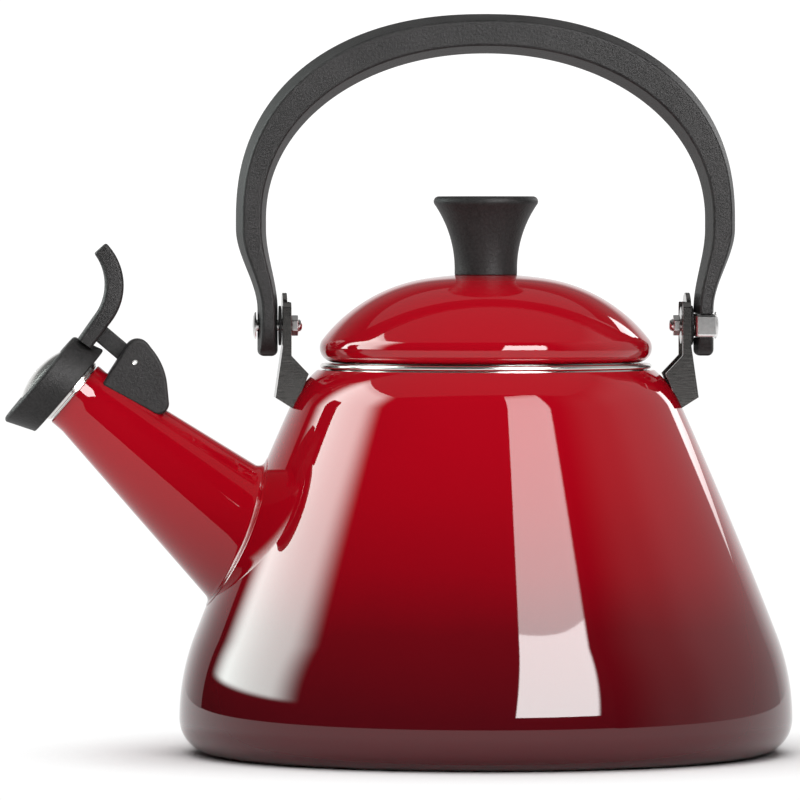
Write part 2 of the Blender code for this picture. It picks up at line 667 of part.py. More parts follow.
def make_arm_slot():
    """Room for the arm at rest and all the way open, round the pin."""
    radius = ARM_HEIGHT / 2 + ARM_FIT
    rest = 180.0 - SPOUT_ANGLE   # the arm lies along the spout, towards its mouth
    opened = rest - WHISTLE_OPEN - SLOT_SPARE
    reach = 5 * ARM_HEIGHT
    pivot = (PIN_AT.x, PIN_AT.z)
    turn = arc(pivot, radius, rest + 90, opened + 270, 8)
    ends = []
    for start, angle in ((turn[-1], opened), (turn[0], rest)):
        lean = math.radians(angle)
        ends.append((start[0] + reach * math.cos(lean), start[1] + reach * math.sin(lean)))
    width = ARM_WIDTH / 2 + ARM_FIT
    return extruded("arm_slot", [*turn, *ends], -width, width, "Y")


def make_lug(name, start, end, height, half_thickness, material=None):
    """A flat tab standing on the spout's ridge, back of the hinge pin."""
    foot = -PIN_OUT + SPOUT_MOUTH_RADIUS
    outline = [pin_frame(start, foot), pin_frame(end, foot), pin_frame(end, foot + height),
               pin_frame(start, foot + height)]
    return extruded(name, outline, -half_thickness, half_thickness, "Y", material)


def make_spout_lug(steel):
    """The welded tab that the hinge block is pressed over."""
    lug = make_lug("spout_lug", *LUG_BACK, LUG_HEIGHT, LUG_THICKNESS / 2, steel)
    cut(lug, spout_cone("lug_foot_cut", GAP, -OVERRUN, 0.8 * SPOUT_LENGTH))
    return lug


def make_hinge_pin(steel):
    """A hollow pin held in the block."""
    half = PIN_HALF_LENGTH
    return ring("hinge_pin", PIN_BORE, PIN_RADIUS, -half, half, 20, steel, PIN_AT, Vector((0, 1, 0)))


# ---- handle ------------------------------------------------------------------------
def smoothstep(share):
    share = min(max(share, 0.0), 1.0)
    return share * share * (3 - 2 * share)


def superellipse(angle, half_width, rise, power):
    """A point above the arch's spring line, from the right (0) over the top to the left."""
    across, up = math.cos(angle), math.sin(angle)
    x = math.copysign(half_width * abs(across) ** (2 / power), across)
    return x, PIVOT_HEIGHT + ARCH_SPRING + rise * up ** (2 / power)


def handle_edges():
    """(outer point, inner point) pairs from the foot of the right leg to that of the left."""
    turns = [math.pi / 2 * i / FOOT_SECTIONS for i in range(FOOT_SECTIONS)]
    rises = [-HANDLE_HALF_DEPTH * math.cos(t) for t in turns]
    rises += [ARCH_SPRING * i / LEG_SECTIONS for i in range(LEG_SECTIONS)]
    leg = []
    for rise in rises:
        share = smoothstep((rise - LEG_BEND[0]) / (LEG_BEND[1] - LEG_BEND[0]))
        above_foot = max(FOOT_ROUND - HANDLE_HALF_DEPTH - rise, 0.0)
        inset = FOOT_ROUND - math.sqrt(FOOT_ROUND ** 2 - above_foot ** 2)
        outer = LEG_OUTER + ARCH_SPREAD * share
        thickness = LEG_THICKNESS + (ARCH_SIDE_THICKNESS - LEG_THICKNESS) * share
        z = PIVOT_HEIGHT + rise
        leg.append(((outer - inset, z), (outer - thickness + inset, z)))
    half_width = LEG_OUTER + ARCH_SPREAD
    inner_rise = ARCH_RISE - ARCH_TOP_THICKNESS
    arch = []
    for i in range(ARCH_SECTIONS + 1):
        angle = math.pi * i / ARCH_SECTIONS
        up = max(angle if i * 2 <= ARCH_SECTIONS else math.pi - angle, 0.0)
        outer = superellipse(up, half_width, ARCH_RISE, ARCH_OUTER_POWER)
        inner = superellipse(up, half_width - ARCH_SIDE_THICKNESS, inner_rise, ARCH_INNER_POWER)
        turn = 1 if i * 2 <= ARCH_SECTIONS else -1
        arch.append(((outer[0] * turn, outer[1]), (inner[0] * turn, inner[1])))
    left = [((-a[0], a[1]), (-b[0], b[1])) for a, b in reversed(leg)]
    return [*leg, *arch, *left]


def make_handle(plastic):
    """The bail: a drafted bar bent into an arch, with round ends about the pivots."""
    sections = []
    for outer, inner in handle_edges():
        below = min(max(PIVOT_HEIGHT - outer[1], 0.0) / HANDLE_HALF_DEPTH, 0.92)
        depth = HANDLE_HALF_DEPTH * math.sqrt(1 - below * below)
        a, b = Vector((outer[0], 0.0, outer[1])), Vector((inner[0], 0.0, inner[1]))
        across = (b - a) * DRAFT_SHARE * depth / HANDLE_HALF_DEPTH
        side = Vector((0.0, depth, 0.0))
        sections.append([a, a + across + side, b - across + side, b, b - across - side,
                         a + across - side])
    handle = loft("handle_grip", sections, plastic)
    rounded_edges(handle, HANDLE_EDGE, 1)
    cut(handle, cross_bar("pivot_bores", BOLT_RADIUS + GAP, LEG_OUTER + 2 * OVERRUN))
    cut(handle, make_clip_pocket())
    return handle


def cross_bar(name, radius, half_length):
    """A round bar along X through both pivots."""
    profile = [(0.0, -half_length), (radius, -half_length), (radius, half_length),
               (0.0, half_length)]
    return turned(name, profile, 24, None, Vector((0, 0, PIVOT_HEIGHT)), Vector((1, 0, 0)))


# ---- pivots ------------------------------------------------------------------------
CLIP_OUTER = LEG_OUTER + GAP / 2
CLIP_CORE = (LEG_INNER + SPACER_THICKNESS + 2 * GAP, HANDLE_HALF_DEPTH - CLIP_WALL)


def clip_box(name, inner, outer, half_depth, half_height, material=None):
    low = (inner, -half_depth, PIVOT_HEIGHT - half_height)
    high = (outer, half_depth, PIVOT_HEIGHT + half_height)
    return box(name, low, high, material)


def make_clip_pocket():
    """Waist in the right leg where the clip and the spacer sit."""
    height = CLIP_HALF_HEIGHT + GAP
    pocket = clip_box("clip_pocket", LEG_INNER - OVERRUN, LEG_OUTER + OVERRUN, 2 * HANDLE_HALF_DEPTH,
                      height)
    inner, half_depth = CLIP_CORE
    outer = CLIP_OUTER - CLIP_WALL - GAP
    cut(pocket, clip_box("clip_core", inner, outer, half_depth - GAP,
                         height + OVERRUN))
    return pocket


def make_lock_clip(steel):
    """A bright U-shaped clip round the right leg."""
    inner, half_depth = CLIP_CORE
    clip = clip_box("lock_clip", inner, CLIP_OUTER, half_depth + CLIP_WALL, CLIP_HALF_HEIGHT, steel)
    rounded_edges(clip, 0.0006)
    hollow = clip_box("clip_hollow", inner - OVERRUN, CLIP_OUTER - CLIP_WALL, half_depth,
                      2 * CLIP_HALF_HEIGHT)
    cut(clip, hollow, cross_bar("clip_bore", BOLT_RADIUS + GAP, LEG_OUTER + 2 * OVERRUN))
    return clip


def bracket_outline():
    """The side flanges' outline as (x, z), on the right."""
    foot, tip = PIVOT_HEIGHT - BRACKET_FOOT, PIVOT_HEIGHT - BRACKET_TIP
    knee = PIVOT_HEIGHT - BRACKET_KNEE
    inner = WEB_OUTER - BRACKET_RETURN
    return [
        (WEB_OUTER, PIVOT_HEIGHT + BRACKET_TOP_RADIUS), (inner, PIVOT_HEIGHT + BRACKET_TOP_RADIUS),
        (inner, knee), (body_radius_at(tip) + BRACKET_TIP_CLEAR, tip),
        (body_radius_at(foot) - SINK, foot),
        (WEB_OUTER + BRACKET_LEAN, PIVOT_HEIGHT - BRACKET_WEB_FOOT), (WEB_OUTER, LEAN_TOP),
    ]


def bracket_channel():
    """The space between the flanges as (x, z), behind the web and leaning as it does."""
    web = WEB_OUTER - BRACKET_WALL
    high, middle = PIVOT_HEIGHT + 2 * BRACKET_TOP_RADIUS, WEB_OUTER / 2
    foot = PIVOT_HEIGHT - BRACKET_WEB_FOOT
    # The lean goes on as far again below the foot, clear of the metal.
    low, out = 2 * foot - LEAN_TOP, web + 2 * BRACKET_LEAN
    return [(web, high), (middle, high), (middle, low), (out, low), (web, LEAN_TOP)]


def make_bracket(side, steel):
    """A pressed channel: a web beside the handle and two flanges down to the body."""
    name = "handle_bracket_" + ("right" if side > 0 else "left")
    outline = [(side * x, z) for x, z in bracket_outline()]
    half = BRACKET_HALF_WIDTH
    bracket = extruded(name, outline, -half, half, "Y", steel)
    top = arc((0.0, PIVOT_HEIGHT), BRACKET_TOP_RADIUS, *BRACKET_TOP_ARC, 12)
    wide, low = half + OVERRUN, PIVOT_HEIGHT - 2 * BRACKET_FOOT
    front = [*top, (-wide, top[-1][1]), (-wide, low), (wide, low), (wide, top[0][1])]
    near, far = sorted((side * WEB_OUTER / 2, side * LEG_OUTER))
    boolean(bracket, extruded(name + "_front", front, near, far, "X"), "INTERSECT")
    inside = half - BRACKET_WALL
    channel = [(side * x, z) for x, z in bracket_channel()]
    cut(bracket, extruded(name + "_channel", channel, -inside, inside, "Y"))
    cut(bracket, body_envelope(name + "_body"))
    cut(bracket, cross_bar(name + "_bore", BOLT_RADIUS + GAP, LEG_OUTER + 2 * OVERRUN))
    return bracket


def along_x(side, start, thickness):
    """Low and high X of a flat piece that starts at a distance from the centre."""
    return sorted((side * start, side * (start - thickness)))


def make_pivot(side, steel, plastic, fibre):
    """Pad, detent plate, nut and bolt of one pivot, and the spacer on the right."""
    tag = "right" if side > 0 else "left"
    at, axis = Vector((0, 0, PIVOT_HEIGHT)), Vector((1, 0, 0))
    bore = BOLT_RADIUS + GAP
    low, high = along_x(side, LEG_INNER - GAP, PAD_THICKNESS)
    ring("pivot_pad_" + tag, bore, PAD_RADIUS, low, high, 32, plastic, at, axis)
    plate = WEB_OUTER - BRACKET_WALL - GAP
    low, high = along_x(side, plate, DETENT_THICKNESS)
    ring("detent_plate_" + tag, bore, DETENT_RADIUS, low, high, 32, steel, at, axis)
    nut = plate - DETENT_THICKNESS - GAP
    make_nut("pivot_nut_" + tag, *along_x(side, nut, NUT_HEIGHT), steel)
    make_bolt("pivot_bolt_" + tag, side, nut - NUT_HEIGHT - BOLT_END, steel)
    if side > 0:
        low, high = along_x(side, CLIP_CORE[0] - GAP, SPACER_THICKNESS)
        ring("pivot_spacer", bore, SPACER_RADIUS, low, high, 24, fibre, at, axis)


def make_nut(name, low, high, steel):
    radius = NUT_HALF_FLATS / math.cos(math.pi / 6)
    turns = [math.pi / 3 * i for i in range(6)]
    outline = [(radius * math.sin(t), PIVOT_HEIGHT + radius * math.cos(t)) for t in turns]
    nut = extruded(name, outline, low, high, "X", steel)
    rounded_edges(nut, 0.0003, 1)
    cut(nut, cross_bar(name + "_bore", BOLT_RADIUS + GAP, LEG_OUTER + 2 * OVERRUN))
    return nut


def make_bolt(name, side, end, steel):
    """A domed bolt with its head outside the handle."""
    head = CLIP_OUTER + GAP
    dome = [(BOLT_HEAD_RADIUS * math.sin(t), head + BOLT_HEAD_HEIGHT * math.cos(t) ** 0.8)
            for t in (math.radians(a) for a in (20, 40, 60, 78))]
    profile = [
        (0.0, head + BOLT_HEAD_HEIGHT), *dome, (BOLT_HEAD_RADIUS, head), (BOLT_RADIUS, head),
        (BOLT_RADIUS, end + 0.0004), (BOLT_RADIUS - 0.0004, end), (0.0, end),
    ]
    at, axis = Vector((0, 0, PIVOT_HEIGHT)), Vector((side, 0, 0))
    return turned(name, profile, 24, steel, at, axis)


# ---- assembly ----------------------------------------------------------------------
def hold(name, place, children):
    """An empty on a joint's axis that carries the pieces of one moving body."""
    empty = bpy.data.objects.new(name, None)
    bpy.context.scene.collection.objects.link(empty)
    empty.location = place
    for child in children:
        obj = bpy.data.objects[child]
        obj.parent = empty
        obj.matrix_parent_inverse = Matrix.Translation(-place)
    return empty


def main():
    for obj in list(bpy.data.objects):
        bpy.data.objects.remove(obj, do_unlink=True)
    enamel = make_material("red_enamel", (0.42, 0.004, 0.010), 0.08)
    plastic = make_material("black_plastic", (0.026, 0.025, 0.025), 0.55)
    stainless = make_material("stainless_steel", (0.45, 0.43, 0.41), 0.32, 1.0)
    bright = make_material("bright_steel", (0.72, 0.71, 0.69), 0.12, 1.0)
    fibre = make_material("spacer_fibre", (0.10, 0.055, 0.05), 0.6)

    make_body(enamel)
    make_rim_ring(bright)
    make_spout(enamel)
    make_spout_collar(bright)
    make_lid_shell(enamel)
    make_lid_skirt(stainless)
    make_lid_knob(plastic)
    make_knob_fixing(stainless)
    make_whistle_cap(plastic)
    make_whistle_discs(bright)
    make_spout_lug(stainless)
    make_hinge_block(plastic)
    make_hinge_pin(bright)
    make_handle(plastic)
    make_lock_clip(bright)
    for side in (-1, 1):
        make_bracket(side, stainless)
        make_pivot(side, stainless, plastic, fibre)

    pivots = Vector((0.0, 0.0, PIVOT_HEIGHT))
    hold("handle_axis", pivots, ["handle_grip", "lock_clip"])
    hold("lid_axis", Vector((0.0, 0.0, RIM_TOP)),
         ["lid_shell", "lid_skirt", "lid_knob", "lid_knob_screw", "lid_knob_washer"])
    hold("whistle_axis", PIN_AT, ["whistle_cap", "whistle_dome", "whistle_disc"])


main()
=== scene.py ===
"""Looks of a stovetop whistling kettle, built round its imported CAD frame. Metres."""
import json
import math

import bmesh
import bpy
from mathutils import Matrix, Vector


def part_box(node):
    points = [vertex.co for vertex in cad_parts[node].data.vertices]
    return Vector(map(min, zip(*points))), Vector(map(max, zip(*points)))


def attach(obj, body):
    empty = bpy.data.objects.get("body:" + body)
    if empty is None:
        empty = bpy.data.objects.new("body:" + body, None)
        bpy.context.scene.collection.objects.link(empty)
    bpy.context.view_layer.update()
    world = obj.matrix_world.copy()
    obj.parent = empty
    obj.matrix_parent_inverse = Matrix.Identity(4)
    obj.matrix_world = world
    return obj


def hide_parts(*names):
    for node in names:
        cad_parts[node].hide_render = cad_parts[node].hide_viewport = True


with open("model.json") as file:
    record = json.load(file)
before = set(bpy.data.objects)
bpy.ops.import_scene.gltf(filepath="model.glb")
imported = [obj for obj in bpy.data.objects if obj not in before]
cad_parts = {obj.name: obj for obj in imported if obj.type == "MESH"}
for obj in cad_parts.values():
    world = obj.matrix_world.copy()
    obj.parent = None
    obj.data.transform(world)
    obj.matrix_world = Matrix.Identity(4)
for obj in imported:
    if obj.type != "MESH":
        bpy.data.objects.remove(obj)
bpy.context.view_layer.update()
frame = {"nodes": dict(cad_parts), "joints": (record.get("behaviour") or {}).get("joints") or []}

JOINTS = {joint["name"]: joint for joint in frame["joints"]}

# ---- clearances --------------------------------------------------------------------
GAP = 0.0003
ARM_FIT = 0.0005
SINK = 0.0002             # how far a welded edge sits into its neighbour
OVERRUN = 0.002           # how far a cutter goes beyond what it cuts

# ---- body, lid and spout -----------------------------------------------------------
BODY_RADIUS = 0.1010
BODY_WALL = 0.0018
BASE_CORNER = 0.0115
BELLY_RADIUS, BELLY_TURN = 0.0763, 21.25
SIDE_RADIUS, SIDE_TURN = 1.624, 2.888
SHOULDER_RADIUS, SHOULDER_TURN = 0.0320, 26.0
MOUTH_FLANGE = 0.0025
MOUTH_CROWN = 0.0001
FOOT_RADIUS = 0.0840      # the underside is pressed in inside this
FOOT_RECESS = 0.0012
ROUND_SEGMENTS = 192
RIM_BEAD, RIM_BEAD_OUT = 0.0009, 0.0006
RIM_SLEEVE = 0.0007
RIM_DEPTH = 0.0075
LID_FIT = 0.0018
LID_CROWN_TURN = 8.9
LID_DOME_RADIUS, LID_DOME_TURN = 0.0533, 43.2
LID_EDGE_RADIUS, LID_EDGE_TURN = 0.00473, 118.0
LID_WALL = 0.0014
SKIRT_WALL = 0.0010
SKIRT_DEPTH = 0.0095
SKIRT_FLANGE = 0.0055
KNOB_HEIGHT = 0.0256
KNOB_FOOT_RADIUS = 0.0103
KNOB_TOP_RADIUS = 0.0172
KNOB_RIM = 0.0017
KNOB_DISH = 0.0012
KNOB_FOOT_EDGE = 0.0003
KNOB_SPREAD = KNOB_TOP_RADIUS - KNOB_RIM - KNOB_FOOT_RADIUS
KNOB_FLARE_HEIGHT = KNOB_HEIGHT - 2 * KNOB_RIM
# The flare's radius that makes it touch the rolled rim without a kink.
KNOB_FLARE_RADIUS = ((KNOB_SPREAD ** 2 + KNOB_FLARE_HEIGHT ** 2 - KNOB_RIM ** 2)
                     / (2 * (KNOB_SPREAD + KNOB_RIM)))
KNOB_SOCKET = 0.0125
SCREW_BORE = 0.0023
SPOUT_ANGLE = 40.3
SPOUT_MOUTH_RADIUS = 0.0120
SPOUT_LIP = 0.0048
SPOUT_LIP_EDGE = 0.0004
SPOUT_TAPER = 8.7
SPOUT_WALL = 0.0015
SPOUT_REACH = 0.0964
SPOUT_FILLET = 0.0025     # radius of the hollow blend into the body
SEAM_STEP = 0.0002        # its edge stands this far off the body
SEAM_WIDTH = 0.0012
COLLAR_HEIGHT = 0.0029
COLLAR_DEPTH = 0.0060
COLLAR_WALL = 0.0008
COLLAR_STEP = 0.0004      # depth of the fine step next to the enamel

# ---- whistle and its hinge ---------------------------------------------------------
CAP_THICKNESS = 0.0105
CAP_BACK_RADIUS, CAP_BACK_DROP = 0.0175, 0.0006
CAP_FRONT_RADIUS, CAP_FRONT_DROP = 0.0180, 0.0035
CAP_BACK_EDGE, CAP_FRONT_EDGE = 0.0007, 0.0013
CAP_OVERLAP, CAP_OVERLAP_FIT = 0.0014, 0.0009
WHISTLE_DROP = 0.0024
CHAMBER_LIP = 0.0011
DISC_RIM = 0.0012
DISC_THICKNESS = 0.0008
DISC_SET_BACK = 0.0013
DOME_RADIUS, DOME_HEIGHT = 0.0101, 0.0022
WHISTLE_HOLE = 0.0014
PIN_BACK, PIN_OUT = 0.0085, 0.0206
PIN_RADIUS, PIN_BORE = 0.0013, 0.0006
PIN_HOLE, PIN_HALF_LENGTH = 0.0009, 0.0076
ARM_HEIGHT, ARM_WIDTH, ARM_EDGE = 0.0059, 0.0070, 0.0005
WHISTLE_OPEN, SLOT_SPARE = 65.0, 3.0
LEVER_START, LEVER_FOOT_OUT = 0.0081, 0.0146
LEVER_STRAIGHT, LEVER_RADIUS = 0.0107, 0.0180
LEVER_LEAN, LEVER_TURN = 53.9, 78.0
LEVER_THICKNESS, LEVER_SWELL = 0.0052, 0.0009
LEVER_WIDTH, LEVER_TIP_WIDTH, LEVER_EDGE = 0.0200, 0.0160, 0.0012
LEVER_TIP_EDGE = 0.0006
BLOCK_HALF_WIDTH = 0.0090
BLOCK_EDGE = 0.0017
BLOCK_CORNERS = (
    (-0.0037, -0.0128, 0.0010),
    (0.0218, -0.0076, 0.0036),
    (0.0083, 0.0055, 0.0215),
    (-0.0065, 0.0087, 0.0042),
)

# ---- handle and its pivots ---------------------------------------------------------
ARCH_SPRING, ARCH_SPREAD, ARCH_RISE = 0.0351, 0.0071, 0.0674
ARCH_SIDE_THICKNESS, ARCH_TOP_THICKNESS = 0.0100, 0.0131
ARCH_OUTER_POWER, ARCH_INNER_POWER = 2.25, 2.05
LEG_THICKNESS = 0.0067
LEG_BEND = (0.0053, 0.0318)
HANDLE_HALF_DEPTH, DRAFT_SHARE = 0.0100, 0.19
HANDLE_EDGE, HANDLE_RIDGE = 0.0010, 0.0015
FOOT_ROUND = 0.0020
BOLT_RADIUS = 0.0020
BOLT_HEAD_RADIUS, BOLT_HEAD_HEIGHT = 0.0045, 0.0011
BOLT_END, BOLT_END_ROUND = 0.0013, 0.0012
PAD_RADIUS, PAD_THICKNESS = 0.0065, 0.0008
SPACER_RADIUS, SPACER_THICKNESS = 0.0036, 0.0008
BRACKET_WALL = 0.0015
BRACKET_HALF_WIDTH = 0.0090
BRACKET_TOP_RADIUS, BRACKET_TOP_ARC = 0.0108, (32, 148)
BRACKET_FOOT, BRACKET_WEB_FOOT = 0.0275, 0.0236
BRACKET_KNEE, BRACKET_TIP, BRACKET_RETURN = 0.0098, 0.0158, 0.0028
BRACKET_TIP_CLEAR, BRACKET_LEAN, BRACKET_EDGE = 0.0018, 0.0024, 0.0004
DETENT_RADIUS, DETENT_THICKNESS = 0.0061, 0.0010
NUT_HALF_FLATS, NUT_HEIGHT, NUT_EDGE = 0.0030, 0.0022, 0.0003
CLIP_WALL, CLIP_HALF_HEIGHT, CLIP_EDGE = 0.0008, 0.0038, 0.0010

# ---- places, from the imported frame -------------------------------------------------
PIVOT_HEIGHT = JOINTS["handle_fold"]["pos_m"][2]
PIN_AT = Vector(JOINTS["whistle_flip"]["pos_m"])
SPOUT_RISE = math.radians(SPOUT_ANGLE)
AHEAD = Vector((-math.cos(SPOUT_RISE), 0.0, math.sin(SPOUT_RISE)))
OUTWARD = Vector((math.sin(SPOUT_RISE), 0.0, math.cos(SPOUT_RISE)))
MOUTH_AT = PIN_AT + AHEAD * PIN_BACK - OUTWARD * PIN_OUT
RIM_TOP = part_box("rim_ring")[1].z
RIM_BASE = RIM_TOP - 2 * RIM_BEAD
MOUTH_TOP = RIM_BASE - GAP
LID_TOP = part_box("lid_shell")[1].z
WEB_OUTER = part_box("pivot_pad_right")[0].x - GAP
LEAN_TOP = PIVOT_HEIGHT - PAD_RADIUS - GAP
LEG_INNER = WEB_OUTER + GAP + PAD_THICKNESS + GAP
LEG_OUTER = LEG_INNER + LEG_THICKNESS
CLIP_OUTER = LEG_OUTER + GAP / 2
CLIP_CORE = (LEG_INNER + SPACER_THICKNESS + 2 * GAP, HANDLE_HALF_DEPTH - CLIP_WALL)
CAP_BACK = COLLAR_HEIGHT + GAP - CAP_OVERLAP
CAP_FRONT = CAP_BACK + CAP_THICKNESS
UP, ALONG_X, ALONG_Y = Vector((0, 0, 1)), Vector((1, 0, 0)), Vector((0, 1, 0))
ORIGIN = Vector((0, 0, 0))
PIVOT_AT = Vector((0, 0, PIVOT_HEIGHT))

# ---- camera and studio -------------------------------------------------------------
CAMERA_AT = Vector((-0.1644, -2.596, 0.176))
CAMERA_TARGET = Vector((-0.0283, 0.0, 0.1162))
CAMERA_LENS = 355.5
KETTLE_MIDDLE = 0.08      # height that the panels' elevations are measured from
WORLD_GREY = 0.015
FLOOR_GLOW = 1.02
FLOOR_FADE = (0.100, 0.165)   # distances between which the floor turns from matt to glowing
FLOOR_REACH = 2.2         # reflections see the floor as far as this
CEILING_GLOW = 0.25
BACKDROP_GLOW = 1.1
BACKDROP_RADIUS, FAR_FLOOR_RADIUS = 12.0, 12.5
SHARP_SIDES = ((0.0, 0.0), (0.02, 1.0), (0.94, 1.0), (1.0, 0.0))
# Each panel's low and high edges as (azimuth, azimuth, elevation, elevation), its distance,
# its radiance, its ramps of brightness upwards and across, and perhaps its tint.
PANELS = {
    "front_softbox_low": (
        (6.8, 39.0, 3.0, 3.0), (10.6, 41.8, 37.0, 34.8), 1.6, 17.0,
        ((0.0, 1.0), (1.0, 1.0)), SHARP_SIDES),
    "front_softbox_high": (
        (10.6, 41.8, 37.0, 34.8), (13.0, 44.0, 62.0, 62.0), 1.6, 8.4,
        ((0.0, 1.0), (0.8, 0.9), (1.0, 0.5)), SHARP_SIDES),
    "left_softbox": (
        (-130.0, -74.0, 3.0, 3.0), (-130.0, -74.0, 50.0, 50.0), 1.0, 10.5,
        ((0.0, 0.0), (0.05, 1.0), (0.9, 0.9), (1.0, 0.6)),
        ((0.0, 0.0), (0.25, 1.0), (0.7, 1.0), (1.0, 0.0)), (0.90, 1.0, 0.97)),
    "right_panel": (
        (44.0, 138.0, -3.7, -3.7), (44.0, 138.0, 58.0, 58.0), 1.2, 0.55,
        ((0.0, 1.0), (0.7, 1.0), (1.0, 0.3)), ((0.0, 0.0), (0.3, 0.6), (0.55, 1.0), (1.0, 0.9))),
    "window": (
        (136.0, 148.0, 10.0, 10.0), (136.0, 148.0, 32.0, 32.0), 1.1, 5.0,
        ((0.0, 0.6), (0.2, 1.0), (1.0, 1.0)), ((0.0, 0.3), (0.1, 1.0), (0.9, 1.0), (1.0, 0.3))),
    "back_wall": (
        (136.0, 225.0, -2.8, -2.8), (136.0, 225.0, 40.0, 40.0), 1.6, 1.0,
        ((0.0, 1.0), (0.4, 1.0), (0.6, 0.2), (1.0, 0.05)),
        ((0.0, 0.6), (0.2, 1.0), (0.65, 1.0), (1.0, 0.45))),
}
# Each soft light's place, its width and height, and its power in watts.
SOFT_LIGHTS = {
    "front_fill": ((0.0, -1.9, 1.1), (2.4, 1.4), 31.0),
    "top_fill": ((0.0, 0.2, 2.0), (2.4, 2.4), 43.0),
}
REFLECTED_ONLY = ("camera", "diffuse", "shadow")
SEEN_ONLY = ("diffuse", "glossy", "transmission", "shadow")


# ---- shapes ------------------------------------------------------------------------
def arc(centre, radius, start, end, steps):
    """Points on an arc, angles in degrees from +X towards +Z, both ends included."""
    angles = [math.radians(start + (end - start) * i / steps) for i in range(steps + 1)]
    return [(centre[0] + radius * math.cos(a), centre[1] + radius * math.sin(a)) for a in angles]


def rounded(corners, steps=8):
    """A closed outline with each corner (x, z, radius) rounded."""
    outline = []
    for i, (x, z, radius) in enumerate(corners):
        here = Vector((x, z))
        before = (Vector(corners[i - 1][:2]) - here).normalized()
        after = (Vector(corners[(i + 1) % len(corners)][:2]) - here).normalized()
        half = before.angle(after) / 2
        centre = here + (before + after).normalized() * radius / math.sin(half)
        first = here + before * radius / math.tan(half) - centre
        last = here + after * radius / math.tan(half) - centre
        for k in range(steps + 1):
            ray = first.lerp(last, k / steps).normalized() * radius
            outline.append((centre.x + ray.x, centre.y + ray.y))
    return outline


def finish_mesh(name, bm, crease=32.0):
    """Turns a bmesh into an object with outward faces and smooth round surfaces."""
    bmesh.ops.remove_doubles(bm, verts=bm.verts, dist=1e-7)
    bmesh.ops.recalc_face_normals(bm, faces=bm.faces)
    mesh = bpy.data.meshes.new(name)
    bm.to_mesh(mesh)
    bm.free()
    mesh.shade_smooth()
    mesh.set_sharp_from_angle(angle=math.radians(crease))
    obj = bpy.data.objects.new(name, mesh)
    bpy.context.scene.collection.objects.link(obj)
    return obj


def loft(name, sections, closed=False):
    """Joins sections of equal point count; the ends are capped unless it closes on itself."""
    bm = bmesh.new()
    rings = [[bm.verts.new(point) for point in section] for section in sections]
    count = len(rings[0])
    following = rings[1:] + rings[:1] if closed else rings[1:]
    for ring, after in zip(rings, following):
        for i in range(count):
            j = (i + 1) % count
            bm.faces.new((ring[i], ring[j], after[j], after[i]))
    if not closed:
        bm.faces.new(rings[0])
        bm.faces.new(rings[-1])
    return finish_mesh(name, bm)


def turned(name, profile, segments=ROUND_SEGMENTS, at=ORIGIN, axis=UP):
    """Turns a closed profile of (radius, height) round an axis; radius 0 is on the axis."""
    across = axis.orthogonal().normalized() if abs(axis.z) < 0.999 else Vector((1, 0, 0))
    beside = axis.cross(across).normalized()
    bm = bmesh.new()
    rings = []
    for radius, height in profile:
        centre = at + axis * height
        if radius == 0.0:
            rings.append([bm.verts.new(centre)])
            continue
        turns = [2 * math.pi * i / segments for i in range(segments)]
        rings.append([
            bm.verts.new(centre + (across * math.cos(t) + beside * math.sin(t)) * radius)
            for t in turns
        ])
    for ring, following in zip(rings, rings[1:] + rings[:1]):
        for i in range(segments):
            j = (i + 1) % segments
            a, b = ring[i % len(ring)], ring[j % len(ring)]
            c, d = following[j % len(following)], following[i % len(following)]
            corners = list(dict.fromkeys((a, b, c, d)))
            if len(corners) > 2:
                bm.faces.new(corners)
    return finish_mesh(name, bm)


def washer(name, inner, outer, low, high, at, axis, edge=0.00015, segments=64):
    """A flat ring with broken edges."""
    corners = [(outer, low, edge), (outer, high, edge), (inner, high, edge), (inner, low, edge)]
    return turned(name, rounded(corners, 3), segments, at, axis)


def rod(name, radius, half_length, at, axis):
    """A round bar both ways from its middle."""
    profile = [(0.0, -half_length), (radius, -half_length), (radius, half_length),
               (0.0, half_length)]
    return turned(name, profile, 48, at, axis)


def extruded(name, outline, low, high, axis):
    """Extrudes an outline of (x, z) along Y, or of (y, z) along X, from low to high."""
    if axis == "Y":
        sections = [[(x, y, z) for x, z in outline] for y in (low, high)]
    else:
        sections = [[(x, y, z) for y, z in outline] for x in (low, high)]
    return loft(name, sections)


def box(name, low, high):
    corners = [(low[0], low[2]), (high[0], low[2]), (high[0], high[2]), (low[0], high[2])]
    return extruded(name, corners, low[1], high[1], "Y")


def bake(obj, crease=32.0):
    """Replaces an object's mesh by what its modifiers make of it."""
    bpy.context.view_layer.update()
    evaluated = obj.evaluated_get(bpy.context.evaluated_depsgraph_get())
    mesh = bpy.data.meshes.new_from_object(evaluated)
    obj.modifiers.clear()
    obj.data = mesh
    mesh.shade_smooth()
    mesh.set_sharp_from_angle(angle=math.radians(crease))
    return obj


def combine(obj, operation, *others):
    """Boolean of an object with helpers, which are then removed."""
    for other in others:
        modifier = obj.modifiers.new(other.name, "BOOLEAN")
        modifier.object = other
        modifier.operation = operation
        modifier.solver = "EXACT"
    bake(obj)
    for other in others:
        bpy.data.objects.remove(other, do_unlink=True)
    return obj


def bevel(obj, width, segments=3, angle=35.0):
    """Rounds an object's sharp edges for good."""
    modifier = obj.modifiers.new("edges", "BEVEL")
    modifier.width = width
    modifier.segments = segments
    modifier.limit_method = "ANGLE"
    modifier.angle_limit = math.radians(angle)
    modifier.use_clamp_overlap = True
    return bake(obj)


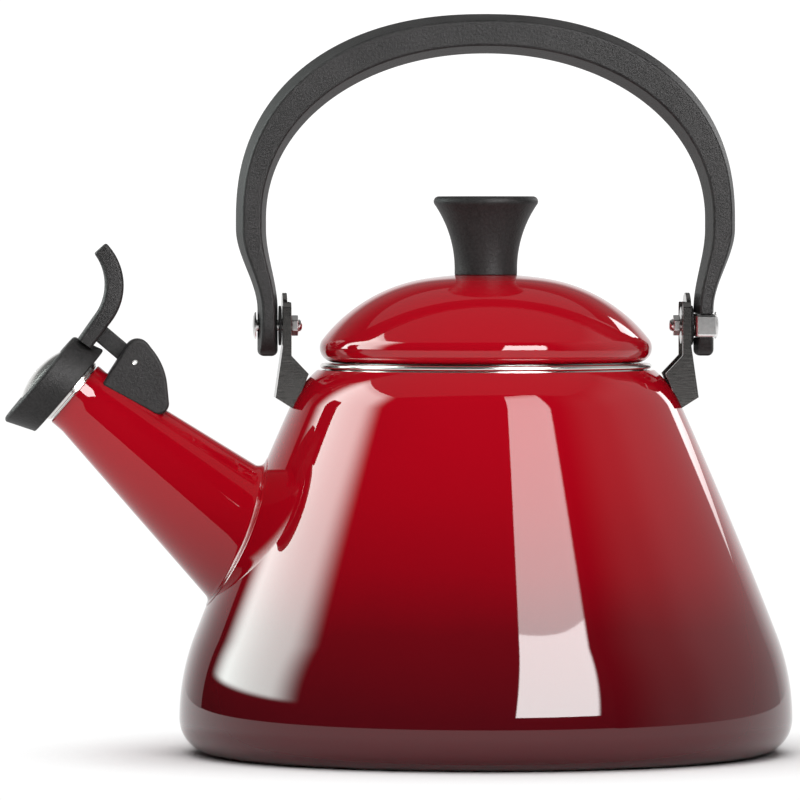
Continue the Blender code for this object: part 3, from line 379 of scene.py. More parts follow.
def dress(obj, material, slot, body, *nodes):
    """Gives a piece its material and its body, and hides the CAD nodes that it stands for."""
    obj.data.materials.clear()
    obj.data.materials.append(material)
    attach(obj, body)
    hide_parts(*nodes)
    if slot != "red_enamel":
        normals = obj.modifiers.new("flat_faces", "WEIGHTED_NORMAL")
        normals.keep_sharp = True
        normals.weight = 90
    return obj


# ---- body --------------------------------------------------------------------------
def body_outline(offset=0.0, detail=5):
    """The outer outline from the base to the mouth, moved outwards by offset."""
    low = (BODY_RADIUS - BASE_CORNER, BASE_CORNER)
    points = arc(low, BASE_CORNER + offset, -90, 0, 3 * detail)
    belly = (BODY_RADIUS - BELLY_RADIUS, BASE_CORNER)
    points += arc(belly, BELLY_RADIUS + offset, 0, BELLY_TURN, 4 * detail)[1:]
    lean = math.radians(BELLY_TURN)
    reach = BELLY_RADIUS - SIDE_RADIUS
    side = (belly[0] + reach * math.cos(lean), belly[1] + reach * math.sin(lean))
    start = BELLY_TURN + SIDE_TURN
    points += arc(side, SIDE_RADIUS + offset, BELLY_TURN, start, 3 * detail)[1:]
    lean = math.radians(start)
    reach = SIDE_RADIUS - SHOULDER_RADIUS
    shoulder = (side[0] + reach * math.cos(lean), side[1] + reach * math.sin(lean))
    end = start + SHOULDER_TURN
    points += arc(shoulder, SHOULDER_RADIUS + offset, start, end, 3 * detail)[1:]
    return points


OUTLINE = body_outline()
MOUTH_RADIUS = OUTLINE[-1][0] - MOUTH_FLANGE
RIM_INNER = MOUTH_RADIUS - GAP - RIM_SLEEVE


def body_radius_at(height):
    """Outer radius of the body's side at a height."""
    for (r0, z0), (r1, z1) in zip(OUTLINE, OUTLINE[1:]):
        if z0 <= height <= z1:
            return r0 + (r1 - r0) * (height - z0) / (z1 - z0)
    return OUTLINE[-1][0]


def spout_radius(back):
    """Outer radius of the spout at a distance back from its mouth."""
    return SPOUT_MOUTH_RADIUS + math.tan(math.radians(SPOUT_TAPER)) * max(back - SPOUT_LIP, 0.0)


def spout_cone(name, offset, start, end, segments=96):
    """The spout's cone, moved outwards by offset, between two distances back from its mouth."""
    stations = sorted({start, max(start, SPOUT_LIP), end})
    outline = [(spout_radius(back) + offset, -back) for back in stations]
    profile = [(0.0, -start), *outline, (0.0, -end)]
    return turned(name, profile, segments, MOUTH_AT, AHEAD)


def make_body():
    """The shell with a pressed foot, a turned-in mouth and a port behind the spout."""
    foot = [(0.0, FOOT_RECESS), (FOOT_RADIUS - 2 * FOOT_RECESS, FOOT_RECESS), (FOOT_RADIUS, 0.0)]
    inner = body_outline(-BODY_WALL, 4)[10:]
    low = BODY_WALL + FOOT_RECESS
    flange = [(OUTLINE[-1][0] - MOUTH_FLANGE / 2, MOUTH_TOP - MOUTH_CROWN / 4),
              (MOUTH_RADIUS, MOUTH_TOP), (MOUTH_RADIUS, MOUTH_TOP - BODY_WALL)]
    floor = [(inner[0][0] - BASE_CORNER / 2, low), (0.0, low)]
    body = turned("kettle_body", [*foot, *OUTLINE, *flange, *reversed(inner), *floor])
    return combine(body, "DIFFERENCE",
                   spout_cone("port", -SPOUT_WALL, 0.4 * SPOUT_REACH, SPOUT_REACH))


def make_rim_ring():
    """A bead rolled over the mouth's edge, with a sleeve down inside it."""
    bead = (MOUTH_RADIUS + RIM_BEAD_OUT, RIM_BASE + RIM_BEAD)
    top = arc(bead, RIM_BEAD, 90, -90, 16)
    outer = MOUTH_RADIUS - GAP
    low = MOUTH_TOP - RIM_DEPTH
    corner = arc((RIM_INNER + RIM_BEAD, RIM_TOP - RIM_BEAD), RIM_BEAD, 180, 90, 6)
    return turned("mouth_ring", [*top, (outer, RIM_BASE), (outer, low), (RIM_INNER, low), *corner])


# ---- spout -------------------------------------------------------------------------
def depth_outside(point):
    """Distance of a point outside the body's side, measured from the body's axis."""
    return math.hypot(point.x, point.y) - body_radius_at(point.z)


def side_normal(point):
    """Outward direction of the body's side beside a point."""
    step = 0.001
    slope = (body_radius_at(point.z + step) - body_radius_at(point.z - step)) / (2 * step)
    return Vector((point.x, point.y, -slope * math.hypot(point.x, point.y))).normalized()


def meet_body(line, depth=0.0):
    """Distance back from the mouth at which a line on the spout reaches the body."""
    near, far = SPOUT_LIP, SPOUT_REACH
    for _ in range(40):
        middle = (near + far) / 2
        near, far = (middle, far) if depth_outside(line(middle)) > depth else (near, middle)
    return near


def spout_section(turn):
    """The wall of the spout at one place round it, from its lip to the seam and back."""
    out = OUTWARD * math.cos(turn) + ALONG_Y * math.sin(turn)

    def outer(back):
        return MOUTH_AT - AHEAD * back + out * spout_radius(back)

    def inner(back):
        return MOUTH_AT - AHEAD * back + out * (spout_radius(back) - SPOUT_WALL)

    foot = meet_body(outer)
    corner = outer(foot)
    normal = side_normal(corner)
    taper = math.radians(SPOUT_TAPER)
    away = out * math.cos(taper) + AHEAD * math.sin(taper)
    away = (away - normal * away.dot(normal)).normalized()
    up_spout = (outer(foot - SPOUT_LIP) - corner).normalized()
    half = up_spout.angle(away) / 2
    reach = SPOUT_FILLET / math.tan(half)
    seam = corner + away * reach
    seam -= side_normal(seam) * depth_outside(seam)
    normal = side_normal(seam)
    hub = corner + (up_spout + away).normalized() * SPOUT_FILLET / math.sin(half)
    first, last = corner + up_spout * reach - hub, seam + normal * SEAM_STEP - hub
    lip = [inner(SPOUT_LIP_EDGE), inner(0.0).lerp(outer(0.0), 0.3), inner(0.0).lerp(outer(0.0), 0.7),
           outer(SPOUT_LIP_EDGE)]
    straight, far = SPOUT_LIP * 2, foot - reach
    cone = [outer(SPOUT_LIP_EDGE + (straight - SPOUT_LIP_EDGE) * i / 8) for i in range(1, 9)]
    cone += [outer(straight + (far - straight) * i / 14) for i in range(1, 15)]
    drift = last.length - SPOUT_FILLET
    blend = [hub + first.lerp(last, s).normalized() * (SPOUT_FILLET + drift * s)
             for s in (i / 10 for i in range(1, 11))]
    edge = [seam + away * SEAM_WIDTH * share + normal * SEAM_STEP * height for share, height in
            ((0.25, 1.0), (0.5, 0.75), (0.75, 0.35), (1.0, -0.25))]
    root = meet_body(inner, -SINK)
    bore = [inner(root + (SPOUT_LIP_EDGE - root) * i / 8) for i in range(8)]
    return [*lip, *cone, *blend, *edge, edge[-1] - normal * SINK * 2, *bore]


def make_spout():
    turns = 128
    return loft("spout_tube", [spout_section(2 * math.pi * i / turns) for i in range(turns)], True)


def make_spout_collar():
    """The bright sleeve in the spout's mouth, with a fine step where it meets the enamel."""
    bore = SPOUT_MOUTH_RADIUS - SPOUT_WALL
    sleeve = bore - GAP
    inner = sleeve - COLLAR_WALL
    shoulder = SPOUT_MOUTH_RADIUS - COLLAR_STEP
    corners = [
        (SPOUT_MOUTH_RADIUS, COLLAR_HEIGHT, 0.0005), (SPOUT_MOUTH_RADIUS, 0.0009, 0.0002),
        (shoulder, 0.0007, 0.0001), (shoulder, GAP, 0.0001),
        (sleeve, GAP, 0.0001), (sleeve, -COLLAR_DEPTH, 0.0002),
        (inner, -COLLAR_DEPTH, 0.0002), (inner, COLLAR_HEIGHT, 0.0003),
    ]
    return turned("mouth_collar", rounded(corners, 4), 96, MOUTH_AT, AHEAD)


# ---- lid ---------------------------------------------------------------------------
LID_EDGE_END = LID_CROWN_TURN + LID_DOME_TURN + LID_EDGE_TURN
SKIRT_OUTER = RIM_INNER - LID_FIT
LID_ROLL_REACH = (LID_EDGE_RADIUS - LID_WALL) * math.sin(math.radians(LID_EDGE_END))
LID_EDGE_CENTRE = SKIRT_OUTER + GAP - LID_ROLL_REACH


def lid_crown_radius():
    """The crown's radius that brings the rolled edge out to the skirt."""
    dome_end = math.radians(LID_CROWN_TURN + LID_DOME_TURN)
    crown_reach = LID_EDGE_CENTRE - (LID_DOME_RADIUS - LID_EDGE_RADIUS) * math.sin(dome_end)
    return LID_DOME_RADIUS + crown_reach / math.sin(math.radians(LID_CROWN_TURN))


def lid_outline(offset=0.0):
    """The lid's outline from its centre out and round its rolled edge."""
    turns = (LID_CROWN_TURN, LID_DOME_TURN, LID_EDGE_TURN)
    radii = (lid_crown_radius(), LID_DOME_RADIUS, LID_EDGE_RADIUS)
    centre = Vector((0.0, LID_TOP - radii[0]))
    angle, points = 90.0, []
    for radius, turn, steps, following in zip(radii, turns, (10, 26, 22), (*radii[1:], 0.0)):
        points += arc(centre, radius + offset, angle, angle - turn, steps)[bool(points):]
        angle -= turn
        lean = Vector((math.cos(math.radians(angle)), math.sin(math.radians(angle))))
        centre = centre + lean * (radius - following)
    return points


def lid_height(radius, offset=0.0):
    """Height of the lid's face, moved outwards by offset, at a radius on its dome."""
    face = lid_outline(offset)
    for (r0, z0), (r1, z1) in zip(face, face[1:]):
        if r0 <= radius <= r1:
            return z0 + (z1 - z0) * (radius - r0) / (r1 - r0)
    return face[0][1]


def make_lid():
    outer, inner = lid_outline()[1:], lid_outline(-LID_WALL)[1:]
    profile = [(SCREW_BORE, LID_TOP), *outer, *reversed(inner), (SCREW_BORE, LID_TOP - LID_WALL)]
    return turned("lid_dome", profile)


def make_lid_skirt():
    """A ring that drops into the mouth, with an inward flange against the lid."""
    inner = SKIRT_OUTER - SKIRT_WALL
    flange = SKIRT_OUTER - SKIRT_FLANGE
    top = lid_height(SKIRT_OUTER, -LID_WALL) - GAP
    low = RIM_TOP + GAP - SKIRT_DEPTH
    ledge = top - SKIRT_WALL
    corners = [(SKIRT_OUTER, low, 0.0003), (SKIRT_OUTER, top, 0.0009), (flange, top, 0.0003),
               (flange, ledge, 0.0003), (inner, ledge, 0.0006), (inner, low, 0.0003)]
    return turned("lid_ring", rounded(corners, 5))


def make_knob():
    """A flared knob with a rolled top edge and a small foot bead."""
    on_lid = lid_height(KNOB_FOOT_RADIUS)
    top = on_lid + GAP + KNOB_HEIGHT
    waist = on_lid + GAP + KNOB_RIM
    rim = (KNOB_TOP_RADIUS - KNOB_RIM, top - KNOB_RIM)
    centre = (KNOB_FOOT_RADIUS + KNOB_FLARE_RADIUS, waist)
    end = math.degrees(math.atan2(rim[1] - waist, centre[0] - rim[0]))
    base = arc((KNOB_FOOT_RADIUS - KNOB_FOOT_EDGE, on_lid + KNOB_FOOT_EDGE), KNOB_FOOT_EDGE,
               -90, 0, 4)
    flare = arc(centre, KNOB_FLARE_RADIUS, 180, 180 - end, 28)
    edge = arc(rim, KNOB_RIM, -end, 90, 18)
    dish = [(radius, top - KNOB_DISH * s) for radius, s in
            ((KNOB_TOP_RADIUS - 1.6 * KNOB_RIM, 0.15), (KNOB_TOP_RADIUS - 2.2 * KNOB_RIM, 0.5),
             (KNOB_TOP_RADIUS - 2.8 * KNOB_RIM, 0.85), (KNOB_TOP_RADIUS - 3.4 * KNOB_RIM, 1.0))]
    under = LID_TOP + GAP / 3
    deep = under + KNOB_SOCKET
    socket = [(0.0, deep), (SCREW_BORE, deep), (SCREW_BORE, under)]
    profile = [*socket, *base, *flare, *edge, *dish, (0.0, top - KNOB_DISH)]
    return turned("lid_grip", profile, 96)


# ---- whistle -----------------------------------------------------------------------
def spout_point(ahead, outward, side=0.0):
    """A point in the spout's frame, measured from the centre of its mouth."""
    return MOUTH_AT + AHEAD * ahead + OUTWARD * outward + Vector((0.0, side, 0.0))


def circle(ahead, drop, radius, segments=112):
    """A circle across the spout's axis, dropped below it."""
    turns = [2 * math.pi * i / segments for i in range(segments)]
    return [spout_point(ahead, radius * math.cos(t) - drop, radius * math.sin(t)) for t in turns]


def lever_path(steps=26):
    """Centre line of the thumb lever as (point, direction), from its foot to its tip."""
    lean = math.radians(LEVER_LEAN)
    point = spout_point(LEVER_START, LEVER_FOOT_OUT)
    along = Vector((math.cos(lean), 0.0, math.sin(lean)))
    path = [(point + along * LEVER_STRAIGHT * i / 4, along) for i in range(5)]
    centre = path[-1][0] + Vector((-along.z, 0.0, along.x)) * LEVER_RADIUS
    for i in range(1, steps + 1):
        angle = lean + math.radians(LEVER_TURN) * i / steps
        along = Vector((math.cos(angle), 0.0, math.sin(angle)))
        path.append((centre + Vector((along.z, 0.0, -along.x)) * LEVER_RADIUS, along))
    return path


def flat_bar(half, half_width, edge, steps=4):
    """A rounded rectangle's outline as (out, side)."""
    corners = [(half, half_width, edge), (-half, half_width, edge), (-half, -half_width, edge),
               (half, -half_width, edge)]
    return rounded(corners, steps)


def make_lever():
    """The lever: a wide strip, thickest halfway, cut square at its tip with broken edges."""
    path = [(i / 30, *place) for i, place in enumerate(lever_path())]
    path = [(share, point, along, 0.0) for share, point, along in path]
    _, end, along, _ = path.pop()
    for turn in (math.pi / 2 * k / 4 for k in range(5)):
        back = end - along * LEVER_TIP_EDGE * (1 - math.sin(turn))
        path.append((1.0, back, along, LEVER_TIP_EDGE * (1 - math.cos(turn))))
    sections = []
    for share, point, along, inset in path:
        half = (LEVER_THICKNESS + LEVER_SWELL * math.sin(math.pi * share)) / 2
        half_width = (LEVER_WIDTH + (LEVER_TIP_WIDTH - LEVER_WIDTH) * share ** 2) / 2
        out = Vector((-along.z, 0.0, along.x))
        sections.append([point + out * u + Vector((0.0, v, 0.0))
                         for u, v in flat_bar(half - inset, half_width - inset, LEVER_EDGE)])
    return loft("lever", sections)


def make_arm():
    """The bar from the cap back to a round eye on the pin."""
    half = ARM_HEIGHT / 2
    eye = [(-PIN_BACK + x, PIN_OUT + z) for x, z in arc((0, 0), half, 270, 90, 20)]
    outline = [*eye, (LEVER_START, PIN_OUT + half), (LEVER_START, PIN_OUT - half)]
    wide = ARM_WIDTH / 2
    sections = [[spout_point(ahead, out, side) for ahead, out in outline] for side in (-wide, wide)]
    return bevel(loft("arm", sections), ARM_EDGE)


def make_whistle_cap():
    """The cap, its arm and its thumb lever: one moulding, hollow for the whistle."""
    steps = 6
    turns = [math.pi / 2 * k / steps for k in range(steps + 1)]
    edge, front = CAP_BACK_EDGE, CAP_FRONT_EDGE
    rims = [(CAP_BACK + edge * (1 - math.cos(t)), CAP_BACK_DROP,
             CAP_BACK_RADIUS - edge * (1 - math.sin(t))) for t in turns]
    rims += [(CAP_FRONT - front * (1 - math.sin(t)), CAP_FRONT_DROP,
              CAP_FRONT_RADIUS - front * (1 - math.cos(t))) for t in turns]
    cap = loft("whistle_case", [circle(*rim) for rim in rims])
    lip = CAP_FRONT - CHAMBER_LIP
    opening = DOME_RADIUS + GAP
    wide = DOME_RADIUS + DISC_RIM + GAP
    chamber = [
        (0.0, CAP_BACK - OVERRUN), (wide, CAP_BACK - OVERRUN), (wide, lip),
        (opening, lip), (opening, CAP_FRONT + OVERRUN), (0.0, CAP_FRONT + OVERRUN),
    ]
    at = MOUTH_AT - OUTWARD * WHISTLE_DROP
    recess = SPOUT_MOUTH_RADIUS + CAP_OVERLAP_FIT
    over_collar = [(0.0, CAP_BACK - OVERRUN), (recess, CAP_BACK - OVERRUN),
                   (recess, COLLAR_HEIGHT + GAP), (0.0, COLLAR_HEIGHT + GAP)]
    combine(cap, "UNION", make_lever(), make_arm())
    return combine(cap, "DIFFERENCE", turned("chamber", chamber, 96, at, AHEAD),
                   turned("collar_recess", over_collar, 96, MOUTH_AT, AHEAD),
                   cross_pin("arm_bore", PIN_RADIUS + GAP, ARM_WIDTH))


def cross_pin(name, radius, half_length):
    """A round bar along Y through the hinge pin's place."""
    return rod(name, radius, half_length, PIN_AT, ALONG_Y)


def make_whistle_dome():
    """The domed front disc, held by the cap's lip."""
    rim = CAP_FRONT - CHAMBER_LIP - GAP
    sphere = (DOME_RADIUS ** 2 + DOME_HEIGHT ** 2) / (2 * DOME_HEIGHT)
    centre = (0.0, CAP_FRONT + DOME_HEIGHT - sphere)
    spread = math.degrees(math.asin(DOME_RADIUS / sphere))
    hole = math.degrees(math.asin(WHISTLE_HOLE / sphere))
    edge = DOME_RADIUS + DISC_RIM
    outer = arc(centre, sphere, 90 - spread, 90 - hole, 16)
    share = (DOME_RADIUS - DISC_THICKNESS) / DOME_RADIUS
    inner = [(max(r * share, WHISTLE_HOLE), z - DISC_THICKNESS) for r, z in outer]
    back = rim - DISC_THICKNESS
    profile = [(edge, back), (edge, rim), (DOME_RADIUS, rim), *outer, *reversed(inner),
               (DOME_RADIUS - DISC_THICKNESS, back)]
    return turned("whistle_front", profile, 96, MOUTH_AT - OUTWARD * WHISTLE_DROP, AHEAD)


def make_whistle_disc():
    low = COLLAR_HEIGHT + DISC_SET_BACK
    return washer("whistle_back", WHISTLE_HOLE, DOME_RADIUS + DISC_RIM, low, low + DISC_THICKNESS,
                  MOUTH_AT - OUTWARD * WHISTLE_DROP, AHEAD, segments=96)


# ---- hinge block -------------------------------------------------------------------
def pin_frame(back, out):
    """(x, z) of a point given back and out from the hinge pin."""
    point = spout_point(-PIN_BACK - back, PIN_OUT + out)
    return point.x, point.z


def make_arm_slot():
    """Room for the arm at rest and all the way open, round the pin."""
    radius = ARM_HEIGHT / 2 + ARM_FIT
    rest = 180.0 - SPOUT_ANGLE
    opened = rest - WHISTLE_OPEN - SLOT_SPARE
    reach = 0.030
    pivot = (PIN_AT.x, PIN_AT.z)
    turn = arc(pivot, radius, rest + 90, opened + 270, 20)
    ends = []
    for start, angle in ((turn[-1], opened), (turn[0], rest)):
        lean = math.radians(angle)
        ends.append((start[0] + reach * math.cos(lean), start[1] + reach * math.sin(lean)))
    width = ARM_WIDTH / 2 + ARM_FIT
    return extruded("arm_slot", [*turn, *ends], -width, width, "Y")


def make_hinge_block():
    """A saddle over the spout, slotted for the whistle's arm."""
    corners = [(*pin_frame(back, out), radius) for back, out, radius in BLOCK_CORNERS]
    block = extruded("hinge_saddle", rounded(corners, 14), -BLOCK_HALF_WIDTH, BLOCK_HALF_WIDTH,
                     "Y")
    bevel(block, BLOCK_EDGE, 5, 40.0)
    return combine(block, "DIFFERENCE", spout_cone("saddle", GAP / 3, -0.004, 0.06),
                   make_arm_slot(), cross_pin("pin_hole", PIN_HOLE, 0.02),
                   cross_pin("block_bore", PIN_RADIUS + GAP, PIN_HALF_LENGTH + GAP))


def make_hinge_pin():
    return washer("hinge_tube", PIN_BORE, PIN_RADIUS, -PIN_HALF_LENGTH, PIN_HALF_LENGTH, PIN_AT,
                  ALONG_Y)


# ---- handle ------------------------------------------------------------------------
def smoothstep(share):
    share = min(max(share, 0.0), 1.0)
    return share * share * (3 - 2 * share)


def superellipse(angle, half_width, rise, power):
    """A point above the arch's spring line, from the right (0) over the top to the left."""
    across, up = math.cos(angle), math.sin(angle)
    x = math.copysign(half_width * abs(across) ** (2 / power), across)
    return x, PIVOT_HEIGHT + ARCH_SPRING + rise * up ** (2 / power)


def leg_edges():
    """(outer point, inner point) pairs up the right leg."""
    rises = [-HANDLE_HALF_DEPTH * math.cos(math.pi / 2 * i / 14) for i in range(14)]
    rises += [ARCH_SPRING * i / 26 for i in range(26)]
    pairs = []
    for rise in rises:
        share = smoothstep((rise - LEG_BEND[0]) / (LEG_BEND[1] - LEG_BEND[0]))
        above_foot = max(FOOT_ROUND - HANDLE_HALF_DEPTH - rise, 0.0)
        inset = FOOT_ROUND - math.sqrt(FOOT_ROUND ** 2 - above_foot ** 2)
        outer = LEG_OUTER + ARCH_SPREAD * share
        thickness = LEG_THICKNESS + (ARCH_SIDE_THICKNESS - LEG_THICKNESS) * share
        z = PIVOT_HEIGHT + rise
        pairs.append(((outer - inset, z), (outer - thickness + inset, z)))
    return pairs


def handle_edges(sections=112):
    """(outer point, inner point) pairs from the foot of the right leg to that of the left."""
    half_width = LEG_OUTER + ARCH_SPREAD
    inner_rise = ARCH_RISE - ARCH_TOP_THICKNESS
    leg, arch = leg_edges(), []
    for i in range(sections + 1):
        angle = math.pi * i / sections
        up = max(min(angle, math.pi - angle), 0.0)
        outer = superellipse(up, half_width, ARCH_RISE, ARCH_OUTER_POWER)
        inner = superellipse(up, half_width - ARCH_SIDE_THICKNESS, inner_rise, ARCH_INNER_POWER)
        turn = 1 if i * 2 <= sections else -1
        arch.append(((outer[0] * turn, outer[1]), (inner[0] * turn, inner[1])))
    left = [((-a[0], a[1]), (-b[0], b[1])) for a, b in reversed(leg)]
    return [*leg, *arch, *left]


def handle_section(outer, inner):
    """Outline of the bar at one place: a drafted bar with soft ridges and rounded edges."""
    below = min(max(PIVOT_HEIGHT - outer[1], 0.0) / HANDLE_HALF_DEPTH, 0.96)
    shrink = math.sqrt(1 - below * below)
    depth = HANDLE_HALF_DEPTH * shrink
    a, b = Vector((outer[0], 0.0, outer[1])), Vector((inner[0], 0.0, inner[1]))
    thick = (b - a).length
    across = (b - a).normalized()
    draft, edge, ridge = DRAFT_SHARE * thick * shrink, HANDLE_EDGE * shrink, HANDLE_RIDGE * shrink
    corners = [(0.0, 0.0, ridge), (draft, depth, edge), (thick - draft, depth, edge),
               (thick, 0.0, ridge), (thick - draft, -depth, edge), (draft, -depth, edge)]
    return [a + across * u + Vector((0.0, v, 0.0)) for u, v in rounded(corners, 5)]


def cross_bar(name, radius, half_length):
    """A round bar along X through both pivots."""
    return rod(name, radius, half_length, PIVOT_AT, ALONG_X)


def clip_box(name, inner, outer, half_depth, half_height):
    low = (inner, -half_depth, PIVOT_HEIGHT - half_height)
    high = (outer, half_depth, PIVOT_HEIGHT + half_height)
    return box(name, low, high)


def make_handle():
    """The bail: a drafted bar bent into an arch, waisted on the right for its clip."""
    handle = loft("bail_handle", [handle_section(*pair) for pair in handle_edges()])
    height = CLIP_HALF_HEIGHT + GAP
    pocket = clip_box("pocket", LEG_INNER - 0.01, LEG_OUTER + 0.01, 0.02, height)
    inner, half_depth = CLIP_CORE
    outer = CLIP_OUTER - CLIP_WALL - GAP
    combine(pocket, "DIFFERENCE", clip_box("core", inner, outer, half_depth - GAP, height + 0.001))
    return combine(handle, "DIFFERENCE", cross_bar("bores", BOLT_RADIUS + GAP, LEG_OUTER + 0.01),
                   pocket)


def make_clip():
    """A bright U-shaped clip round the right leg, with a pressed edge."""
    inner, half_depth = LEG_INNER, CLIP_CORE[1]
    clip = clip_box("leg_clip", inner, CLIP_OUTER, half_depth + CLIP_WALL, CLIP_HALF_HEIGHT)
    bevel(clip, CLIP_EDGE, 5)
    hollow = clip_box("hollow", inner - 0.01, CLIP_OUTER - CLIP_WALL, half_depth, 0.02)
    return combine(clip, "DIFFERENCE", hollow,
                   cross_bar("clip_bore", BOLT_RADIUS + GAP, LEG_OUTER + 0.01))


# ---- brackets and pivots -----------------------------------------------------------
def bracket_outline():
    """The side flanges' outline as (x, z), on the right."""
    foot, tip = PIVOT_HEIGHT - BRACKET_FOOT, PIVOT_HEIGHT - BRACKET_TIP
    knee = PIVOT_HEIGHT - BRACKET_KNEE
    inner = WEB_OUTER - BRACKET_RETURN
    return [
        (WEB_OUTER, PIVOT_HEIGHT + BRACKET_TOP_RADIUS), (inner, PIVOT_HEIGHT + BRACKET_TOP_RADIUS),
        (inner, knee), (body_radius_at(tip) + BRACKET_TIP_CLEAR, tip),
        (body_radius_at(foot) - 0.0015, foot),
        (WEB_OUTER + BRACKET_LEAN, PIVOT_HEIGHT - BRACKET_WEB_FOOT), (WEB_OUTER, LEAN_TOP),
    ]


def bracket_channel():
    """The space between the flanges as (x, z), behind the web and leaning as it does."""
    web = WEB_OUTER - BRACKET_WALL
    high, middle = PIVOT_HEIGHT + 2 * BRACKET_TOP_RADIUS, WEB_OUTER / 2
    low = 2 * (PIVOT_HEIGHT - BRACKET_WEB_FOOT) - LEAN_TOP
    out = web + 2 * BRACKET_LEAN
    return [(web, high), (middle, high), (middle, low), (out, low), (web, LEAN_TOP)]


def body_envelope(name):
    """The body's outer shape, for cutting what stands on it."""
    outline = body_outline(-SINK)
    return turned(name, [(0.0, -GAP), *outline, (0.0, outline[-1][1])])


def make_bracket(side):
    """A pressed channel: a web beside the handle and two flanges down to the body."""
    name = "pivot_bracket_" + ("right" if side > 0 else "left")
    outline = [(side * x, z) for x, z in bracket_outline()]
    half = BRACKET_HALF_WIDTH
    bracket = extruded(name, outline, -half, half, "Y")
    top = arc((0.0, PIVOT_HEIGHT), BRACKET_TOP_RADIUS, *BRACKET_TOP_ARC, 32)
    shape = [*top, (-half - 0.001, top[-1][1]), (-half - 0.001, 0.1), (half + 0.001, 0.1),
             (half + 0.001, top[0][1])]
    low, high = sorted((side * 0.04, side * 0.09))
    combine(bracket, "INTERSECT", extruded("front", shape, low, high, "X"))
    inside = half - BRACKET_WALL
    channel = [(side * x, z) for x, z in bracket_channel()]
    combine(bracket, "DIFFERENCE", extruded("channel", channel, -inside, inside, "Y"),
            cross_bar("bracket_bore", BOLT_RADIUS + GAP, LEG_OUTER + 0.01))
    bevel(bracket, BRACKET_EDGE, 3, 30.0)
    return combine(bracket, "DIFFERENCE", body_envelope("envelope"))


def along_x(side, start, thickness):
    """Low and high X of a flat piece that starts at a distance from the centre."""
    return sorted((side * start, side * (start - thickness)))


def make_nut(name, low, high):
    radius = NUT_HALF_FLATS / math.cos(math.pi / 6)
    turns = [math.pi / 3 * i for i in range(6)]
    outline = [(radius * math.sin(t), PIVOT_HEIGHT + radius * math.cos(t)) for t in turns]
    nut = extruded(name, outline, low, high, "X")
    bevel(nut, NUT_EDGE)
    return combine(nut, "DIFFERENCE", cross_bar("nut_bore", BOLT_RADIUS + GAP / 3, 0.1))


def make_bolt(name, side, end):
    """A domed bolt with its head outside the handle and a rounded end beyond its nut."""
    head = CLIP_OUTER + GAP
    dome = [(BOLT_HEAD_RADIUS * math.sin(t), head + BOLT_HEAD_HEIGHT * math.cos(t) ** 0.8)
            for t in (math.radians(a) for a in range(8, 88, 8))]
    tail = arc((BOLT_RADIUS - BOLT_END_ROUND, end + BOLT_END_ROUND), BOLT_END_ROUND, 0, -90, 6)
    profile = [(0.0, head + BOLT_HEAD_HEIGHT), *dome, (BOLT_HEAD_RADIUS, head),
               (BOLT_RADIUS, head), *tail, (0.0, end)]
    return turned(name, profile, 64, PIVOT_AT, Vector((side, 0, 0)))


def make_pivot(side, look):
    """Pad, detent plate, nut and bolt of one pivot, and the spacer on the right."""
    tag = "right" if side > 0 else "left"
    bore = BOLT_RADIUS + GAP / 3
    low, high = along_x(side, LEG_INNER - GAP, PAD_THICKNESS)
    pad = washer("leg_washer_" + tag, bore, PAD_RADIUS, low, high, PIVOT_AT, ALONG_X)
    dress(pad, look["black_plastic"], "black_plastic", "kettle", "pivot_pad_" + tag)
    start = WEB_OUTER - BRACKET_WALL - GAP
    low, high = along_x(side, start, DETENT_THICKNESS)
    plate = washer("stop_plate_" + tag, bore, DETENT_RADIUS, low, high, PIVOT_AT, ALONG_X)
    dress(plate, look["stainless_steel"], "stainless_steel", "kettle", "detent_plate_" + tag)
    start -= DETENT_THICKNESS + GAP
    nut = make_nut("hex_nut_" + tag, *along_x(side, start, NUT_HEIGHT))
    dress(nut, look["satin_steel"], "stainless_steel", "kettle", "pivot_nut_" + tag)
    bolt = make_bolt("domed_bolt_" + tag, side, start - NUT_HEIGHT - BOLT_END)
    dress(bolt, look["satin_steel"], "stainless_steel", "kettle", "pivot_bolt_" + tag)
    if side > 0:
        low, high = along_x(side, CLIP_CORE[0] - GAP, SPACER_THICKNESS)
        spacer = washer("fibre_washer", bore, SPACER_RADIUS, low, high, PIVOT_AT, ALONG_X)
        dress(spacer, look["spacer_fibre"], "spacer_fibre", "kettle", "pivot_spacer")


